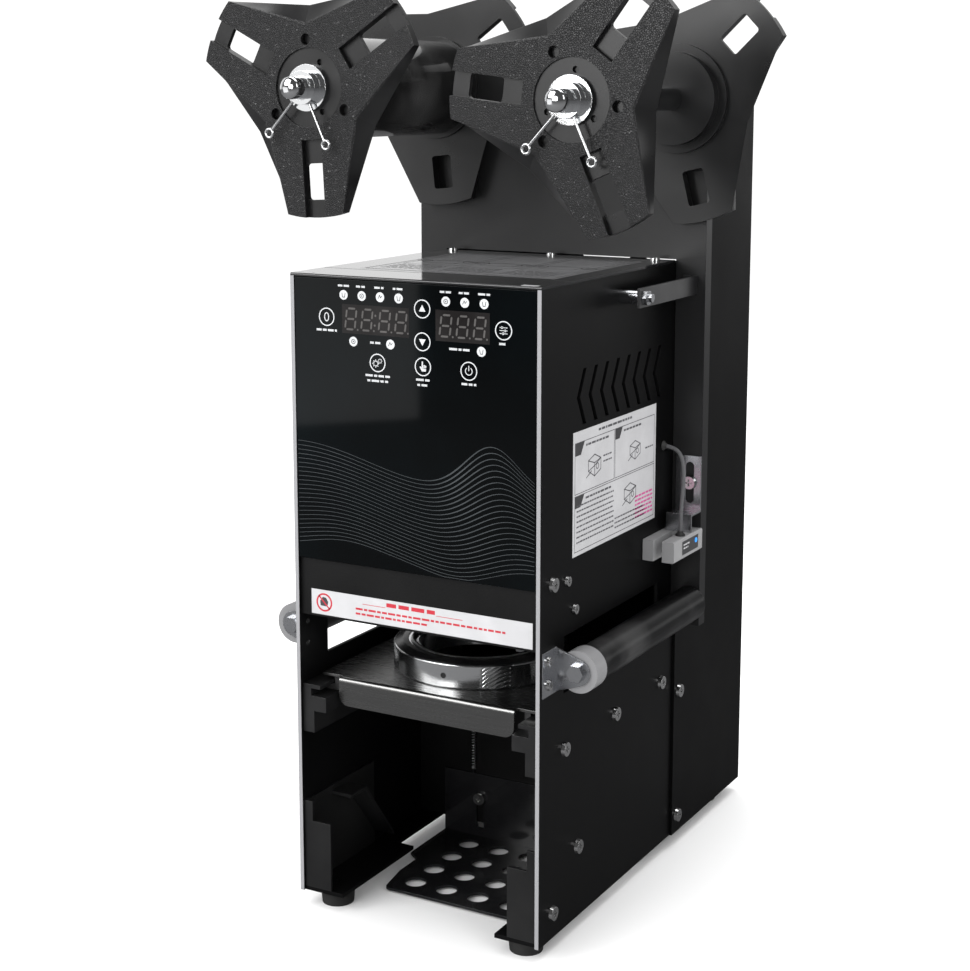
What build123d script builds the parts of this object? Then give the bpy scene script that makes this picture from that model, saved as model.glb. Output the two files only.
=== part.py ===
from build123d import *
import os
from math import atan2, cos, pi, radians, sin, tan

os.makedirs("parts", exist_ok=True)

# Cup sealing machine. X is across (right +), Y runs to the rear, Z is up, in millimetres.
# The origin is on the floor, midway between the four feet.

# overall sizes
body_width = 200.0
front_y = -180.0
rear_y = 192.0
foot_height = 12.0
plate_height = 462.0
column_height = 612.0

# sheet thicknesses
plate_t = 3.0
sheet_t = 2.0
thin_t = 1.5
glass_t = 3.0

# running gaps
slide_gap = 0.3
shaft_gap = 0.05

# heights that the rest follows
base_z = foot_height
head_z = base_z + plate_height
column_z = base_z + column_height
half = body_width / 2
inside = half - plate_t

# side plates
flange_width = 33.0
flange_narrow = 18.0
flange_notch_y = front_y + 102.0
plate_rear_y = 70.0
film_slot_low = 187.0
film_slot_high = 228.0
film_slot_front = front_y + 36.0
film_slot_rear = 15.0
vent_low = head_z - 101.0
vent_high = head_z - 62.0
vent_front = front_y + 53.0
vent_pitch = 18.14
vent_count = 8
vent_bend = 10.0
vent_width = 5.0

# rear column and the reel panel in front of it
seam_y = 46.0
panel_y = 39.0
panel_half = half + 24.6
panel_low = film_slot_low + 4.0
panel_return = 9.0
base_lip = 22.0

# head
glass_low = 268.0
fascia_low = 225.0
lower_deck_z = 238.0
upper_deck_z = 392.0
cover_t = 2.0

# press: cup centre line, rods, carriage and cam
cup_y = front_y + 96.0
press_travel = 26.0
press_turn = 170.0
rod_r = 5.0
rod_offset = 52.0
carriage_z = 296.0
carriage_t = 8.0
carriage_half = 65.0
deck_hole_r = 64.0
heater_r = 58.0
heater_t = 16.0
die_z = 224.0
die_t = 8.0
die_r = 48.3
cutter_t = 1.5
clamp_r = 60.0
roller_r = 9.0
roller_width = 8.0
roller_lift = 18.0
pin_r = 4.0
cam_base = 14.0
cam_t = 7.0
cam_shaft_r = 6.0

# cup drawer
table_z = 177.0
table_half = inside - 7.0
table_front = front_y + 14.0
table_rear = 40.0
lip_half = inside - 24.2
lip_fold = 3.2
table_set_back = 5.0
lip_height = 21.0
ring_r = 65.0
ring_height = 18.0
ring_bore = 46.0
rim_seat_r = 48.6
rail_z = 172.0
rail_edge = inside - 15.0
rail_lip = inside - 20.0
rack_module = 1.5
pinion_teeth = 20
pinion_y = 20.0
rack_width = 10.0
rack_front = cup_y + ring_r
rack_rear = rear_y - 10.0

# cup rest
tray_t = 2.0
tray_z = 2.0
tray_travel = 22.0
tray_plate_y = -14.0
tray_plate_top = 56.6
tray_pitch = 27.2
tray_hole_r = 8.2
tray_slot_x = 40.0
tray_screw_z = 36.4
bulkhead_top = 150.0
bulkhead_t = 2.0

# film reels
reel_x = half + 4.3
reel_drop = 8.0
reel_left_z = column_z - 21.6
reel_r = 92.3
reel_front_y = front_y + 32.0
reel_depth = 8.0
reel_shaft_r = 8.6
reel_nose_r = 8.0
core_r = 36.5
hub_r = 40.0
spigot_r = 33.8

# film guide rollers
guide_x = half + 17.5
guide_z = base_z + 197.0
guide_r = 13.5
guide_cap_r = 15.0
guide_axle_r = 4.0
ear_y = front_y + 22.6

# fasteners
screw_head_r = 5.6
screw_head_t = 2.6
screw_r = 3.0
small_head_r = 3.9
small_head_t = 2.0
small_r = 2.0


def at_y(y):
    """A sketch plane that faces the front at depth y, with X across and Z up."""
    return Plane.XZ.offset(-y)


def at_x(x):
    """A sketch plane that faces the right at x, with Y across and Z up."""
    return Plane.YZ.offset(x)


def at_z(z):
    """A level sketch plane at height z."""
    return Plane.XY.offset(z)


def area(left, right, low, high, mode=Mode.ADD):
    """A rectangle in the open sketch, given by its four sides."""
    with Locations(((left + right) / 2, (low + high) / 2)):
        Rectangle(right - left, high - low, mode=mode)


def block(lows, highs, mode=Mode.ADD):
    """A box in the open part, given by its lowest and highest corners."""
    middle = [(low + high) / 2 for low, high in zip(lows, highs)]
    size = [high - low for low, high in zip(lows, highs)]
    with Locations(tuple(middle)):
        Box(*size, mode=mode)


def save(part, name):
    """Labels a finished piece and writes it to its own file."""
    part.label = name
    export_step(part, f"parts/{name}.step")


# Where the fasteners stand: (Y, Z) on a side plate, and their mirror on the other.
rail_screws = [(front_y + 38.0, 146.0), (front_y + 121.3, 146.0), (front_y + 203.7, 146.0)]
side_screws = rail_screws + [(front_y + 18.6, glass_low + 1.2), (front_y + 59.8, base_z + 53.8)]
side_screws = side_screws + [(front_y + 20.6, base_z + 19.0)]
deck_screws = [(front_y + 40.4, lower_deck_z + 28.5), (front_y + 52.3, lower_deck_z + 5.7)]
bracket_screws = [(front_y + 10.5, guide_z - 8.25), (front_y + 10.5, guide_z + 8.25)]
column_screws = [(seam_y + 9.2, base_z + 118.4), (seam_y + 9.2, base_z + 14.3)]
brace_y = front_y + 122.0
brace_z = head_z - 18.0
brace_stand = 16.0
sides = [("left", -1), ("right", 1)]

# ---------------------------------------------------------------- side plates
# Folded steel plates. Each has the film slot, a row of chevron vents and a foot flange.
for name, side in sides:
    outer_x = side * half
    with BuildPart() as side_plate:
        with BuildSketch(at_x(outer_x)):
            area(front_y, plate_rear_y, base_z, head_z - cover_t)
            area(film_slot_front, film_slot_rear, film_slot_low, film_slot_high, Mode.SUBTRACT)
        extrude(amount=-side * plate_t)
        with BuildSketch(at_x(outer_x)):
            for k in range(vent_count):
                vent_y = vent_front + k * vent_pitch
                with BuildLine():
                    Polyline(
                        (vent_y + vent_bend, vent_low),
                        (vent_y, (vent_low + vent_high) / 2),
                        (vent_y + vent_bend, vent_high),
                        (vent_y + vent_bend + vent_width, vent_high),
                        (vent_y + vent_width, (vent_low + vent_high) / 2),
                        (vent_y + vent_bend + vent_width, vent_low),
                        close=True,
                    )
                make_face()
        extrude(amount=-side * plate_t, mode=Mode.SUBTRACT)
        with BuildSketch(at_x(outer_x)):
            with Locations(*side_screws, (brace_y, brace_z), *column_screws):
                Circle(screw_r + shaft_gap)
            with Locations(*deck_screws, *bracket_screws):
                Circle(small_r + shaft_gap)
        extrude(amount=-side * plate_t, mode=Mode.SUBTRACT)
        flange = sorted([side * inside, side * (inside - flange_width)])
        narrow = sorted([side * inside, side * (inside - flange_narrow)])
        block((flange[0], front_y + 2, base_z), (flange[1], flange_notch_y, base_z + plate_t))
        block((narrow[0], flange_notch_y, base_z), (narrow[1], plate_rear_y, base_z + plate_t))
        with BuildSketch(at_z(base_z)):
            with Locations((side * (half - 20), front_y + 20)):
                Circle(small_r + shaft_gap)
        extrude(amount=plate_t, mode=Mode.SUBTRACT)
    save(side_plate.part, f"{name}_side_plate")

# ---------------------------------------------------------------- rear column
# A folded steel wrap: two sides, back, top, and lips along the floor for the rear feet.
column_half = half + sheet_t
inlet_z = base_z + 60.0
switch_z = inlet_z + 45.0
reel_right_z = reel_left_z - reel_drop
with BuildPart() as rear_column:
    block((-column_half, panel_y + sheet_t, base_z), (column_half, rear_y, column_z))
    block((-half, panel_y, base_z), (half, rear_y - sheet_t, column_z - sheet_t), Mode.SUBTRACT)
    block((-column_half, panel_y, base_z), (column_half, seam_y, panel_low), Mode.SUBTRACT)
    fillet(rear_column.edges().filter_by(Axis.Z).group_by(Axis.Y)[-1], sheet_t)
    for side in (-1, 1):
        lip = sorted([side * half, side * (half - base_lip)])
        block((lip[0], plate_rear_y + 1, base_z), (lip[1], rear_y - sheet_t, base_z + sheet_t))
    with BuildSketch(at_z(base_z)):
        with Locations((half - 20, -front_y - 20), (20 - half, -front_y - 20)):
            Circle(small_r + shaft_gap)
    extrude(amount=sheet_t, mode=Mode.SUBTRACT)
    with BuildSketch(at_x(-column_half)):
        with Locations(*column_screws):
            Circle(screw_r + shaft_gap)
    extrude(amount=2 * column_half, mode=Mode.SUBTRACT)
    # the reels' bearings and their motor stand in these notches behind the panel
    for side, shaft_z in ((-1, reel_left_z), (1, reel_right_z)):
        notch = sorted([side * (half - 1), side * (column_half + 1)])
        block(
            (notch[0], panel_y, shaft_z - 17),
            (notch[1], panel_y + 66, shaft_z + 17),
            Mode.SUBTRACT,
        )
    # air slots high on the back, the mains inlet and its switch low on it
    with BuildSketch(at_y(rear_y)):
        with Locations((0, column_z - 200)):
            with GridLocations(60, 12, 2, 9):
                SlotOverall(46, 4)
        with Locations((60, inlet_z)):
            Rectangle(27.4, 20.4)
        with Locations((60, switch_z)):
            Rectangle(13.4, 19.4)
    extrude(amount=sheet_t + 1, mode=Mode.SUBTRACT)
save(rear_column.part, "rear_column")

# ---------------------------------------------------------------- reel panel
# The grey front sheet of the column. It straddles the head and carries both reels.
head_clear = 0.5
with BuildPart() as reel_panel:
    with BuildSketch(at_y(panel_y + sheet_t)):
        area(-panel_half, panel_half, panel_low, column_z)
        area(-half - head_clear, half + head_clear, panel_low, head_z + head_clear, Mode.SUBTRACT)
        with Locations((-reel_x, reel_left_z), (reel_x, reel_right_z)):
            Circle(13.0 + shaft_gap, mode=Mode.SUBTRACT)
        with Locations((-guide_x, guide_z), (guide_x, guide_z)):
            Circle(guide_axle_r + shaft_gap, mode=Mode.SUBTRACT)
    extrude(amount=sheet_t)
    for side in (-1, 1):
        turn = sorted([side * panel_half, side * (panel_half - sheet_t)])
        low = (turn[0], panel_y + sheet_t, panel_low)
        block(low, (turn[1], panel_y + sheet_t + panel_return, column_z))
save(reel_panel.part, "reel_panel")

# ---------------------------------------------------------------- head covers
# The top cover lies over both side plates, with its edges turned down inside them.
cover_rear = panel_y - 1.0
with BuildPart() as top_cover:
    block((-half, front_y, head_z - cover_t), (half, cover_rear, head_z))
    for side in (-1, 1):
        turn = sorted([side * (inside - thin_t), side * inside])
        low = (turn[0], front_y + 6, head_z - cover_t - 8)
        block(low, (turn[1], cover_rear - 6, head_z - cover_t))
    fillet(top_cover.edges().filter_by(Axis.X).group_by(Axis.Y)[0].sort_by(Axis.Z)[-1], 1.2)
    with BuildSketch(at_z(head_z)):
        with Locations((-half + 12, cover_rear - 10), (0, cover_rear - 10), (half - 12, cover_rear - 10)):
            Circle(small_r + shaft_gap)
    extrude(amount=-cover_t, mode=Mode.SUBTRACT)
save(top_cover.part, "top_cover")

# A folded sheet: it backs the glass, then shows below it down to the film.
window_z = head_z - 40.0
windows = [(-56.0, -2.2), (19.7, 60.9)]
with BuildPart() as fascia:
    with BuildSketch(at_y(front_y + glass_t + thin_t)):
        area(-inside, inside, fascia_low, head_z - cover_t)
        for left, right in windows:
            area(left, right, window_z, window_z + 20, Mode.SUBTRACT)
    extrude(amount=thin_t)
    low = (-inside, front_y + glass_t + thin_t, fascia_low)
    block(low, (inside, front_y + glass_t + thin_t + 14, fascia_low + thin_t))
save(fascia.part, "fascia")

# Tempered glass with the touch keys printed behind it.
with BuildPart() as front_glass:
    with BuildSketch(at_y(front_y + glass_t)):
        area(-inside + 0.5, inside - 0.5, glass_low, head_z - cover_t - 0.5)
    extrude(amount=glass_t)
    chamfer(front_glass.faces().filter_by(Axis.Y).sort_by(Axis.Y)[0].edges(), 0.4)
save(front_glass.part, "front_glass")

# Control board on four posts behind the glass, with both number displays.
board_y = front_y + 22.0
with BuildPart() as control_board:
    block((-85, board_y, window_z - 60), (85, board_y + 1.6, window_z + 30))
    for x in (-80, 80):
        for z in (window_z - 55, window_z + 25):
            with BuildSketch(at_y(board_y)):
                with Locations((x, z)):
                    Circle(3)
            extrude(amount=board_y - front_y - glass_t - thin_t)
    for left, right in windows:
        display = (left + 1, front_y + glass_t + thin_t + 0.5, window_z + 0.5)
        block(display, (right - 1, board_y, window_z + 19.5))
save(control_board.part, "control_board")

# ---------------------------------------------------------------- decks and guide rods
# Two cross decks tie the side plates; four rods stand between them and guide the press.
rod_spots = [(x, cup_y + y) for x in (-rod_offset, rod_offset) for y in (-rod_offset, rod_offset)]
deck_front = board_y + 6.0
press_hub_z = carriage_z + carriage_t + roller_lift
cam_axis_z = press_hub_z + roller_r + slide_gap + cam_base
bracket_y = cup_y + 22.0
bracket_t = 4.0
with BuildPart() as upper_deck:
    block((-inside, deck_front, upper_deck_z), (inside, plate_rear_y, upper_deck_z + plate_t))
    for side in (-1, 1):
        turn = sorted([side * (inside - plate_t), side * inside])
        low = (turn[0], deck_front, upper_deck_z - 20)
        block(low, (turn[1], plate_rear_y, upper_deck_z))
    # the motor bracket hangs below the deck
    low = (-45, bracket_y, press_hub_z - 8)
    block(low, (45, bracket_y + bracket_t, upper_deck_z))
    with BuildSketch(at_z(upper_deck_z)):
        with Locations(*rod_spots):
            Circle(small_r + shaft_gap)
    extrude(amount=plate_t, mode=Mode.SUBTRACT)
    with BuildSketch(at_y(bracket_y + bracket_t)):
        with Locations((0, cam_axis_z)):
            Circle(cam_shaft_r + 5.0)
    extrude(amount=bracket_t, mode=Mode.SUBTRACT)
save(upper_deck.part, "upper_deck")

with BuildPart() as lower_deck:
    block((-inside, deck_front, lower_deck_z), (inside, panel_y - 4, lower_deck_z + plate_t))
    for side in (-1, 1):
        turn = sorted([side * (inside - plate_t), side * inside])
        low = (turn[0], deck_front, lower_deck_z + plate_t)
        block(low, (turn[1], panel_y - 4, lower_deck_z + 34))
    with BuildSketch(at_z(lower_deck_z)):
        with Locations((0, cup_y)):
            Circle(deck_hole_r)
        with Locations(*rod_spots):
            Circle(small_r + shaft_gap)
    extrude(amount=plate_t, mode=Mode.SUBTRACT)
    for side in (-1, 1):
        with BuildSketch(at_x(side * inside)):
            with Locations(*deck_screws):
                Circle(small_r + shaft_gap)
        extrude(amount=-side * plate_t, mode=Mode.SUBTRACT)
save(lower_deck.part, "lower_deck")

rod_low = lower_deck_z + plate_t
with BuildPart() as guide_rods:
    with BuildSketch(at_z(rod_low)):
        with Locations(*rod_spots):
            Circle(rod_r)
    extrude(amount=upper_deck_z - rod_low)
    chamfer(guide_rods.edges().filter_by(GeomType.CIRCLE), 0.6)
save(guide_rods.part, "guide_rods")

# ---------------------------------------------------------------- press carriage
# An aluminium plate on four flanged bronze bushes, with a fork for the cam roller.
bush_r = 8.0
bush_flange_r = 10.0
bush_flange_t = 3.0
fork_half = roller_width / 2 + 0.5
with BuildPart() as press_carriage:
    with BuildSketch(at_z(carriage_z)):
        with Locations((0, cup_y)):
            RectangleRounded(2 * carriage_half, 2 * carriage_half, 8)
            Circle(9, mode=Mode.SUBTRACT)
        with Locations(*rod_spots):
            Circle(bush_r, mode=Mode.SUBTRACT)
    extrude(amount=carriage_t)
    for side in (-1, 1):
        ear_face = cup_y + side * fork_half + (3.0 if side > 0 else 0.0)
        with BuildSketch(at_y(ear_face)):
            area(-14, 14, carriage_z + carriage_t, carriage_z + carriage_t + 6)
            area(-7, 7, carriage_z + carriage_t, press_hub_z)
            with Locations((0, press_hub_z)):
                Circle(7)
                Circle(pin_r, mode=Mode.SUBTRACT)
        extrude(amount=3.0)
save(press_carriage.part, "press_carriage")

with BuildPart() as carriage_bushes:
    with BuildSketch(at_z(carriage_z)):
        with Locations(*rod_spots):
            Circle(bush_r)
    extrude(amount=carriage_t)
    with BuildSketch(at_z(carriage_z + carriage_t)):
        with Locations(*rod_spots):
            Circle(bush_flange_r)
    extrude(amount=bush_flange_t)
    with BuildSketch(at_z(carriage_z)):
        with Locations(*rod_spots):
            Circle(rod_r + shaft_gap)
    extrude(amount=carriage_t + bush_flange_t, mode=Mode.SUBTRACT)
save(carriage_bushes.part, "carriage_bushes")

# Four springs round the rods hold the carriage up against the cam.
spring_wire = 0.8
spring_r = rod_r + 2.2
spring_turns = 5
spring_low = rod_low + spring_wire
spring_height = carriage_z - rod_low - 2 * spring_wire
with BuildPart() as return_springs:
    for x, y in rod_spots:
        with BuildLine(Plane((x, y, spring_low))):
            Helix(spring_height / spring_turns, spring_height, spring_r)
        with BuildSketch(Plane((x + spring_r, y, spring_low), x_dir=(1, 0, 0), z_dir=(0, 1, 0))):
            Circle(spring_wire)
        sweep(is_frenet=True)
save(return_springs.part, "return_springs")

# Follower roller, free on the pin through the fork.
with BuildPart() as follower_roller:
    with BuildSketch(at_y(cup_y + roller_width / 2)):
        with Locations((0, press_hub_z)):
            Circle(roller_r)
            Circle(pin_r + shaft_gap, mode=Mode.SUBTRACT)
    extrude(amount=roller_width)
    chamfer(follower_roller.edges().filter_by(GeomType.CIRCLE).group_by(SortBy.RADIUS)[-1], 0.5)
save(follower_roller.part, "follower_roller")

pin_half = fork_half + 4.5
with BuildPart() as follower_pin:
    with BuildSketch(at_y(cup_y + pin_half)):
        with Locations((0, press_hub_z)):
            Circle(pin_r)
    extrude(amount=2 * pin_half)
save(follower_pin.part, "follower_pin")

# ---------------------------------------------------------------- cam and its motor
# The cam's rise is the same for each degree, so the press follows it at a constant ratio.
rise_per_degree = press_travel / press_turn
centre_low = cam_base + roller_r + slide_gap
contact_r = roller_r + slide_gap


def cam_point(turn):
    """The cam's edge where it has turned this many degrees from the low point."""
    reach = centre_low + rise_per_degree * turn
    slope = atan2(rise_per_degree * 180 / pi, reach)
    around = radians(turn)
    # from the roller's centre, back along the line that is square to its path
    x = reach * cos(around) - contact_r * cos(around - slope)
    y = reach * sin(around) - contact_r * sin(around - slope)
    return (x, y)


cam_over = 8.0
cam_points = [cam_point(turn) for turn in range(-int(cam_over), int(press_turn + cam_over) + 1, 6)]
with BuildPart() as press_cam:
    cam_face = Plane((0, cup_y - cam_t / 2, cam_axis_z), x_dir=(0, 0, -1), z_dir=(0, 1, 0))
    with BuildSketch(cam_face):
        with BuildLine():
            rise = Spline(*cam_points)
            Line(rise @ 1, (cam_points[-1][0] * 0.4, -12))
            Line((cam_points[-1][0] * 0.4, -12), rise @ 0)
        make_face()
    extrude(amount=cam_t)
    with BuildSketch(at_y(cup_y + 4.5 + 23)):
        with Locations((0, cam_axis_z)):
            Circle(cam_shaft_r)
    extrude(amount=4.5 + 23 + 4.5 + 4)
    with BuildSketch(at_y(cup_y + 13)):
        with Locations((0, cam_axis_z)):
            Circle(cam_shaft_r + 5)
    extrude(amount=13 - cam_t / 2)
save(press_cam.part, "press_cam")

# Gearmotor for the press: gearbox against the bracket, motor can behind it.
gearbox_y = bracket_y + bracket_t
with BuildPart() as press_gearmotor:
    block((-32, gearbox_y, cam_axis_z - 24), (32, gearbox_y + 34, cam_axis_z + 24))
    with BuildSketch(at_y(gearbox_y + 34 + 60)):
        with Locations((0, cam_axis_z)):
            Circle(21)
    extrude(amount=60)
    with BuildSketch(at_y(gearbox_y + 10)):
        with Locations((0, cam_axis_z)):
            Circle(cam_shaft_r + shaft_gap)
    extrude(amount=10, mode=Mode.SUBTRACT)
save(press_gearmotor.part, "press_gearmotor")

# ---------------------------------------------------------------- sealing head
# Heater block hung from the carriage, then the die, the cutter round it and the film clamp.
heater_z = die_z + die_t
with BuildPart() as heater_block:
    with BuildSketch(at_z(heater_z)):
        with Locations((0, cup_y)):
            Circle(heater_r)
    extrude(amount=heater_t)
    with BuildSketch(at_z(heater_z + heater_t)):
        with Locations((0, cup_y)):
            with PolarLocations(38, 4, start_angle=45):
                Circle(5)
    extrude(amount=carriage_z - heater_z - heater_t)
    with BuildSketch(at_x(-heater_r - 1)):
        with Locations((cup_y - 14, heater_z + heater_t / 2), (cup_y + 14, heater_z + heater_t / 2)):
            Circle(3.2)
    extrude(amount=2 * heater_r + 2, mode=Mode.SUBTRACT)
save(heater_block.part, "heater_block")

with BuildPart() as sealing_die:
    with BuildSketch(at_z(die_z + 1.5)):
        with Locations((0, cup_y)):
            Circle(die_r)
            Circle(die_r - 9, mode=Mode.SUBTRACT)
    extrude(amount=die_t - 1.5)
    chamfer(sealing_die.faces().sort_by(Axis.Z)[0].edges(), 1.0)
save(sealing_die.part, "sealing_die")

# Cutter: a thin steel ring with saw teeth on its lower edge.
cutter_in = die_r + 0.5
cutter_teeth = 36
with BuildPart() as cutter_ring:
    with BuildSketch(at_z(die_z + 0.5)):
        with Locations((0, cup_y)):
            Circle(cutter_in + cutter_t)
            Circle(cutter_in, mode=Mode.SUBTRACT)
    extrude(amount=die_t - 0.5)
    tooth_pitch = 2 * pi * cutter_in / cutter_teeth
    for k in range(cutter_teeth):
        turn = 360 / cutter_teeth * k
        mid = (cutter_in * cos(radians(turn)), cup_y + cutter_in * sin(radians(turn)), die_z + 0.5)
        away = (cos(radians(turn)), sin(radians(turn)), 0)
        with BuildSketch(Plane(mid, x_dir=(-away[1], away[0], 0), z_dir=away)):
            with BuildLine():
                Polyline((-tooth_pitch * 0.3, 0), (0, 2.0), (tooth_pitch * 0.3, 0), close=True)
            make_face()
        extrude(amount=cutter_t + 1, both=True, mode=Mode.SUBTRACT)
save(cutter_ring.part, "cutter_ring")

with BuildPart() as film_clamp_ring:
    with BuildSketch(at_z(die_z)):
        with Locations((0, cup_y)):
            Circle(clamp_r)
            Circle(cutter_in + cutter_t + 0.8, mode=Mode.SUBTRACT)
    extrude(amount=die_t)
    chamfer(film_clamp_ring.faces().sort_by(Axis.Z)[0].edges().sort_by(SortBy.RADIUS)[-1], 1.2)
save(film_clamp_ring.part, "film_clamp_ring")

# ---------------------------------------------------------------- drawer rails
# One profile for both sides: a groove holds the drawer's runners down.
rail_low = 135.4
runner_top = rail_z - 3.0
with BuildPart() as drawer_rails:
    for side in (-1, 1):
        with BuildSketch(at_y(table_rear)):
            with BuildLine():
                Polyline(
                    (side * rail_edge, rail_z),
                    (side * rail_edge, runner_top),
                    (side * (rail_edge + 8), runner_top),
                    (side * (rail_edge + 8), rail_z - 8.6),
                    (side * rail_lip, rail_z - 8.6),
                    (side * rail_lip, rail_z - 20),
                    (side * (inside - 9.5), rail_z - 20),
                    (side * (inside - 9.5), rail_low),
                    (side * inside, rail_low),
                    (side * inside, rail_z),
                    close=True,
                )
            make_face()
        extrude(amount=table_rear - front_y - 3)
    for side in (-1, 1):
        with BuildSketch(at_x(side * inside)):
            with Locations(*rail_screws):
                Circle(screw_r + shaft_gap)
        extrude(amount=-side * 7, mode=Mode.SUBTRACT)
save(drawer_rails.part, "drawer_rails")

# ---------------------------------------------------------------- cup drawer
# Stainless table with a turned-down front lip; the cup hangs through the ring's hole.
with BuildPart() as drawer_table:
    with BuildSketch(at_z(table_z - sheet_t)):
        area(-table_half, table_half, table_front + table_set_back, table_rear)
        area(-lip_half, lip_half, table_front, table_front + table_set_back)
        with Locations((0, cup_y)):
            Circle(ring_bore + 4, mode=Mode.SUBTRACT)
    extrude(amount=sheet_t)
    with BuildSketch(at_y(table_front + sheet_t)):
        area(-lip_half, lip_half, table_z - lip_height, table_z - sheet_t)
    extrude(amount=sheet_t)
    lip_ends = drawer_table.edges().filter_by(Axis.Y).group_by(Axis.Z)[0]
    fillet(lip_ends, 8)
    fillet(drawer_table.edges().filter_by(Axis.X).group_by(Axis.Z)[-1].sort_by(Axis.Y)[0], lip_fold)
save(drawer_table.part, "drawer_table")

runner_z = rail_z - 8.6 + slide_gap
with BuildPart() as drawer_runners:
    for side in (-1, 1):
        stem = sorted([side * rail_lip, side * (rail_edge - slide_gap)])
        tongue = sorted([side * rail_lip, side * (rail_edge + 8 - slide_gap)])
        low = (stem[0], table_front + 8, runner_z)
        block(low, (stem[1], table_rear, table_z - sheet_t))
        low = (tongue[0], table_front + 8, runner_z)
        block(low, (tongue[1], table_rear, runner_top - slide_gap))
save(drawer_runners.part, "drawer_runners")

# Rack: trapezoid teeth of 20 degrees below a bar that reaches back into the column.
pitch_r = rack_module * pinion_teeth / 2
rack_root = table_z - sheet_t - 8.5
rack_pitch_z = rack_root - 1.25 * rack_module
pinion_z = rack_pitch_z - pitch_r
rack_step = pi * rack_module
backlash = 0.4
rack_teeth = int((rack_rear - rack_front) / rack_step)
lean = tan(radians(20))
with BuildPart() as drawer_rack:
    block(
        (-rack_width / 2, rack_front, rack_root),
        (rack_width / 2, rack_rear, table_z - sheet_t),
    )
    with BuildSketch(at_x(-rack_width / 2)):
        first = pinion_y - rack_step * int((pinion_y - rack_front - rack_step) / rack_step)
        for k in range(rack_teeth):
            middle = first + k * rack_step
            if middle + rack_step < rack_rear:
                root_half = rack_step / 4 - backlash / 2 + 1.25 * rack_module * lean
                tip_half = rack_step / 4 - backlash / 2 - rack_module * lean
                with BuildLine():
                    Polyline(
                        (middle - root_half, rack_root),
                        (middle + root_half, rack_root),
                        (middle + tip_half, rack_pitch_z - rack_module),
                        (middle - tip_half, rack_pitch_z - rack_module),
                        close=True,
                    )
                make_face()
    extrude(amount=rack_width)
save(drawer_rack.part, "drawer_rack")

# Pinion: involute flanks worked out from the base circle.
base_r = pitch_r * cos(radians(20))
tip_r = pitch_r + rack_module
root_r = pitch_r - 1.25 * rack_module
shaft_r = 4.0


def flank_angle(radius):
    """How far the involute has turned where it crosses this radius, in radians."""
    roll = (max(radius, base_r) / base_r) ** 2 - 1
    return roll**0.5 - atan2(roll**0.5, 1)


with BuildPart() as drawer_pinion:
    with BuildSketch(at_x(-rack_width / 2)):
        with Locations((pinion_y, pinion_z)):
            Circle(root_r)
    extrude(amount=rack_width)
    half_tooth = pi / pinion_teeth / 2 - backlash / 2 / pitch_r
    radii = [root_r - 0.3] + [base_r + (tip_r - base_r) * k / 4 for k in range(5)]
    with BuildSketch(at_x(-rack_width / 2)):
        for k in range(pinion_teeth):
            # a gap of the pinion faces the rack's tooth above its centre
            centre = pi / 2 + (k + 0.5) * 2 * pi / pinion_teeth
            flank = []
            for radius in radii:
                flank.append((radius, half_tooth + flank_angle(pitch_r) - flank_angle(radius)))
            left = [(r, centre + a) for r, a in flank]
            right = [(r, centre - a) for r, a in reversed(flank)]
            outline = [(pinion_y + r * cos(a), pinion_z + r * sin(a)) for r, a in left + right]
            with BuildLine():
                Polyline(*outline, close=True)
            make_face()
    extrude(amount=rack_width)
    with BuildSketch(at_x(-rack_width / 2 - 2)):
        with Locations((pinion_y, pinion_z)):
            Circle(shaft_r)
    extrude(amount=rack_width + 2 + 18)
save(drawer_pinion.part, "drawer_pinion")

# Gearmotor of the drawer, on a foot that is bolted to the bulkhead.
bulkhead_y = tray_plate_y + tray_t + slide_gap
motor_face = rack_width / 2 + 3.0
with BuildPart() as drawer_gearmotor:
    block((motor_face, pinion_y - 20, pinion_z - 24), (motor_face + 30, pinion_y + 20, pinion_z + 14))
    with BuildSketch(at_x(motor_face + 30)):
        with Locations((pinion_y, pinion_z - 4)):
            Circle(16)
    extrude(amount=34)
    low = (motor_face, bulkhead_y + bulkhead_t, pinion_z - 44)
    block(low, (motor_face + 40, bulkhead_y + bulkhead_t + 3, pinion_z - 10))
    low = (motor_face, bulkhead_y + bulkhead_t, pinion_z - 27)
    block(low, (motor_face + 30, pinion_y + 20, pinion_z - 24))
    with BuildSketch(at_x(motor_face)):
        with Locations((pinion_y, pinion_z)):
            Circle(shaft_r + shaft_gap)
    extrude(amount=15.5, mode=Mode.SUBTRACT)
save(drawer_gearmotor.part, "drawer_gearmotor")

# ---------------------------------------------------------------- cup ring
# Turned aluminium ring on the table, with a dark bevel and a bright inner lip.
ring_top = table_z + ring_height
bevel_low_r = ring_r - 1.0
lip_out_r = 54.0
lip_top = ring_top + 2.4
with BuildPart() as cup_ring:
    with BuildSketch(Plane.XZ.offset(-cup_y)):
        with BuildLine():
            Polyline(
                (ring_bore, table_z),
                (ring_r, table_z),
                (ring_r, ring_top - 0.6),
                (ring_r - 0.6, ring_top),
                (lip_out_r, ring_top),
                (lip_out_r, lip_top - 0.4),
                (lip_out_r - 0.5, lip_top),
                (rim_seat_r + 0.4, lip_top),
                (rim_seat_r, lip_top - 0.4),
                (rim_seat_r, lip_top - 2.4),
                (ring_bore, lip_top - 2.4),
                close=True,
            )
        make_face()
    revolve(axis=Axis((0, cup_y, 0), (0, 0, 1)))
save(cup_ring.part, "cup_ring")

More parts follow.
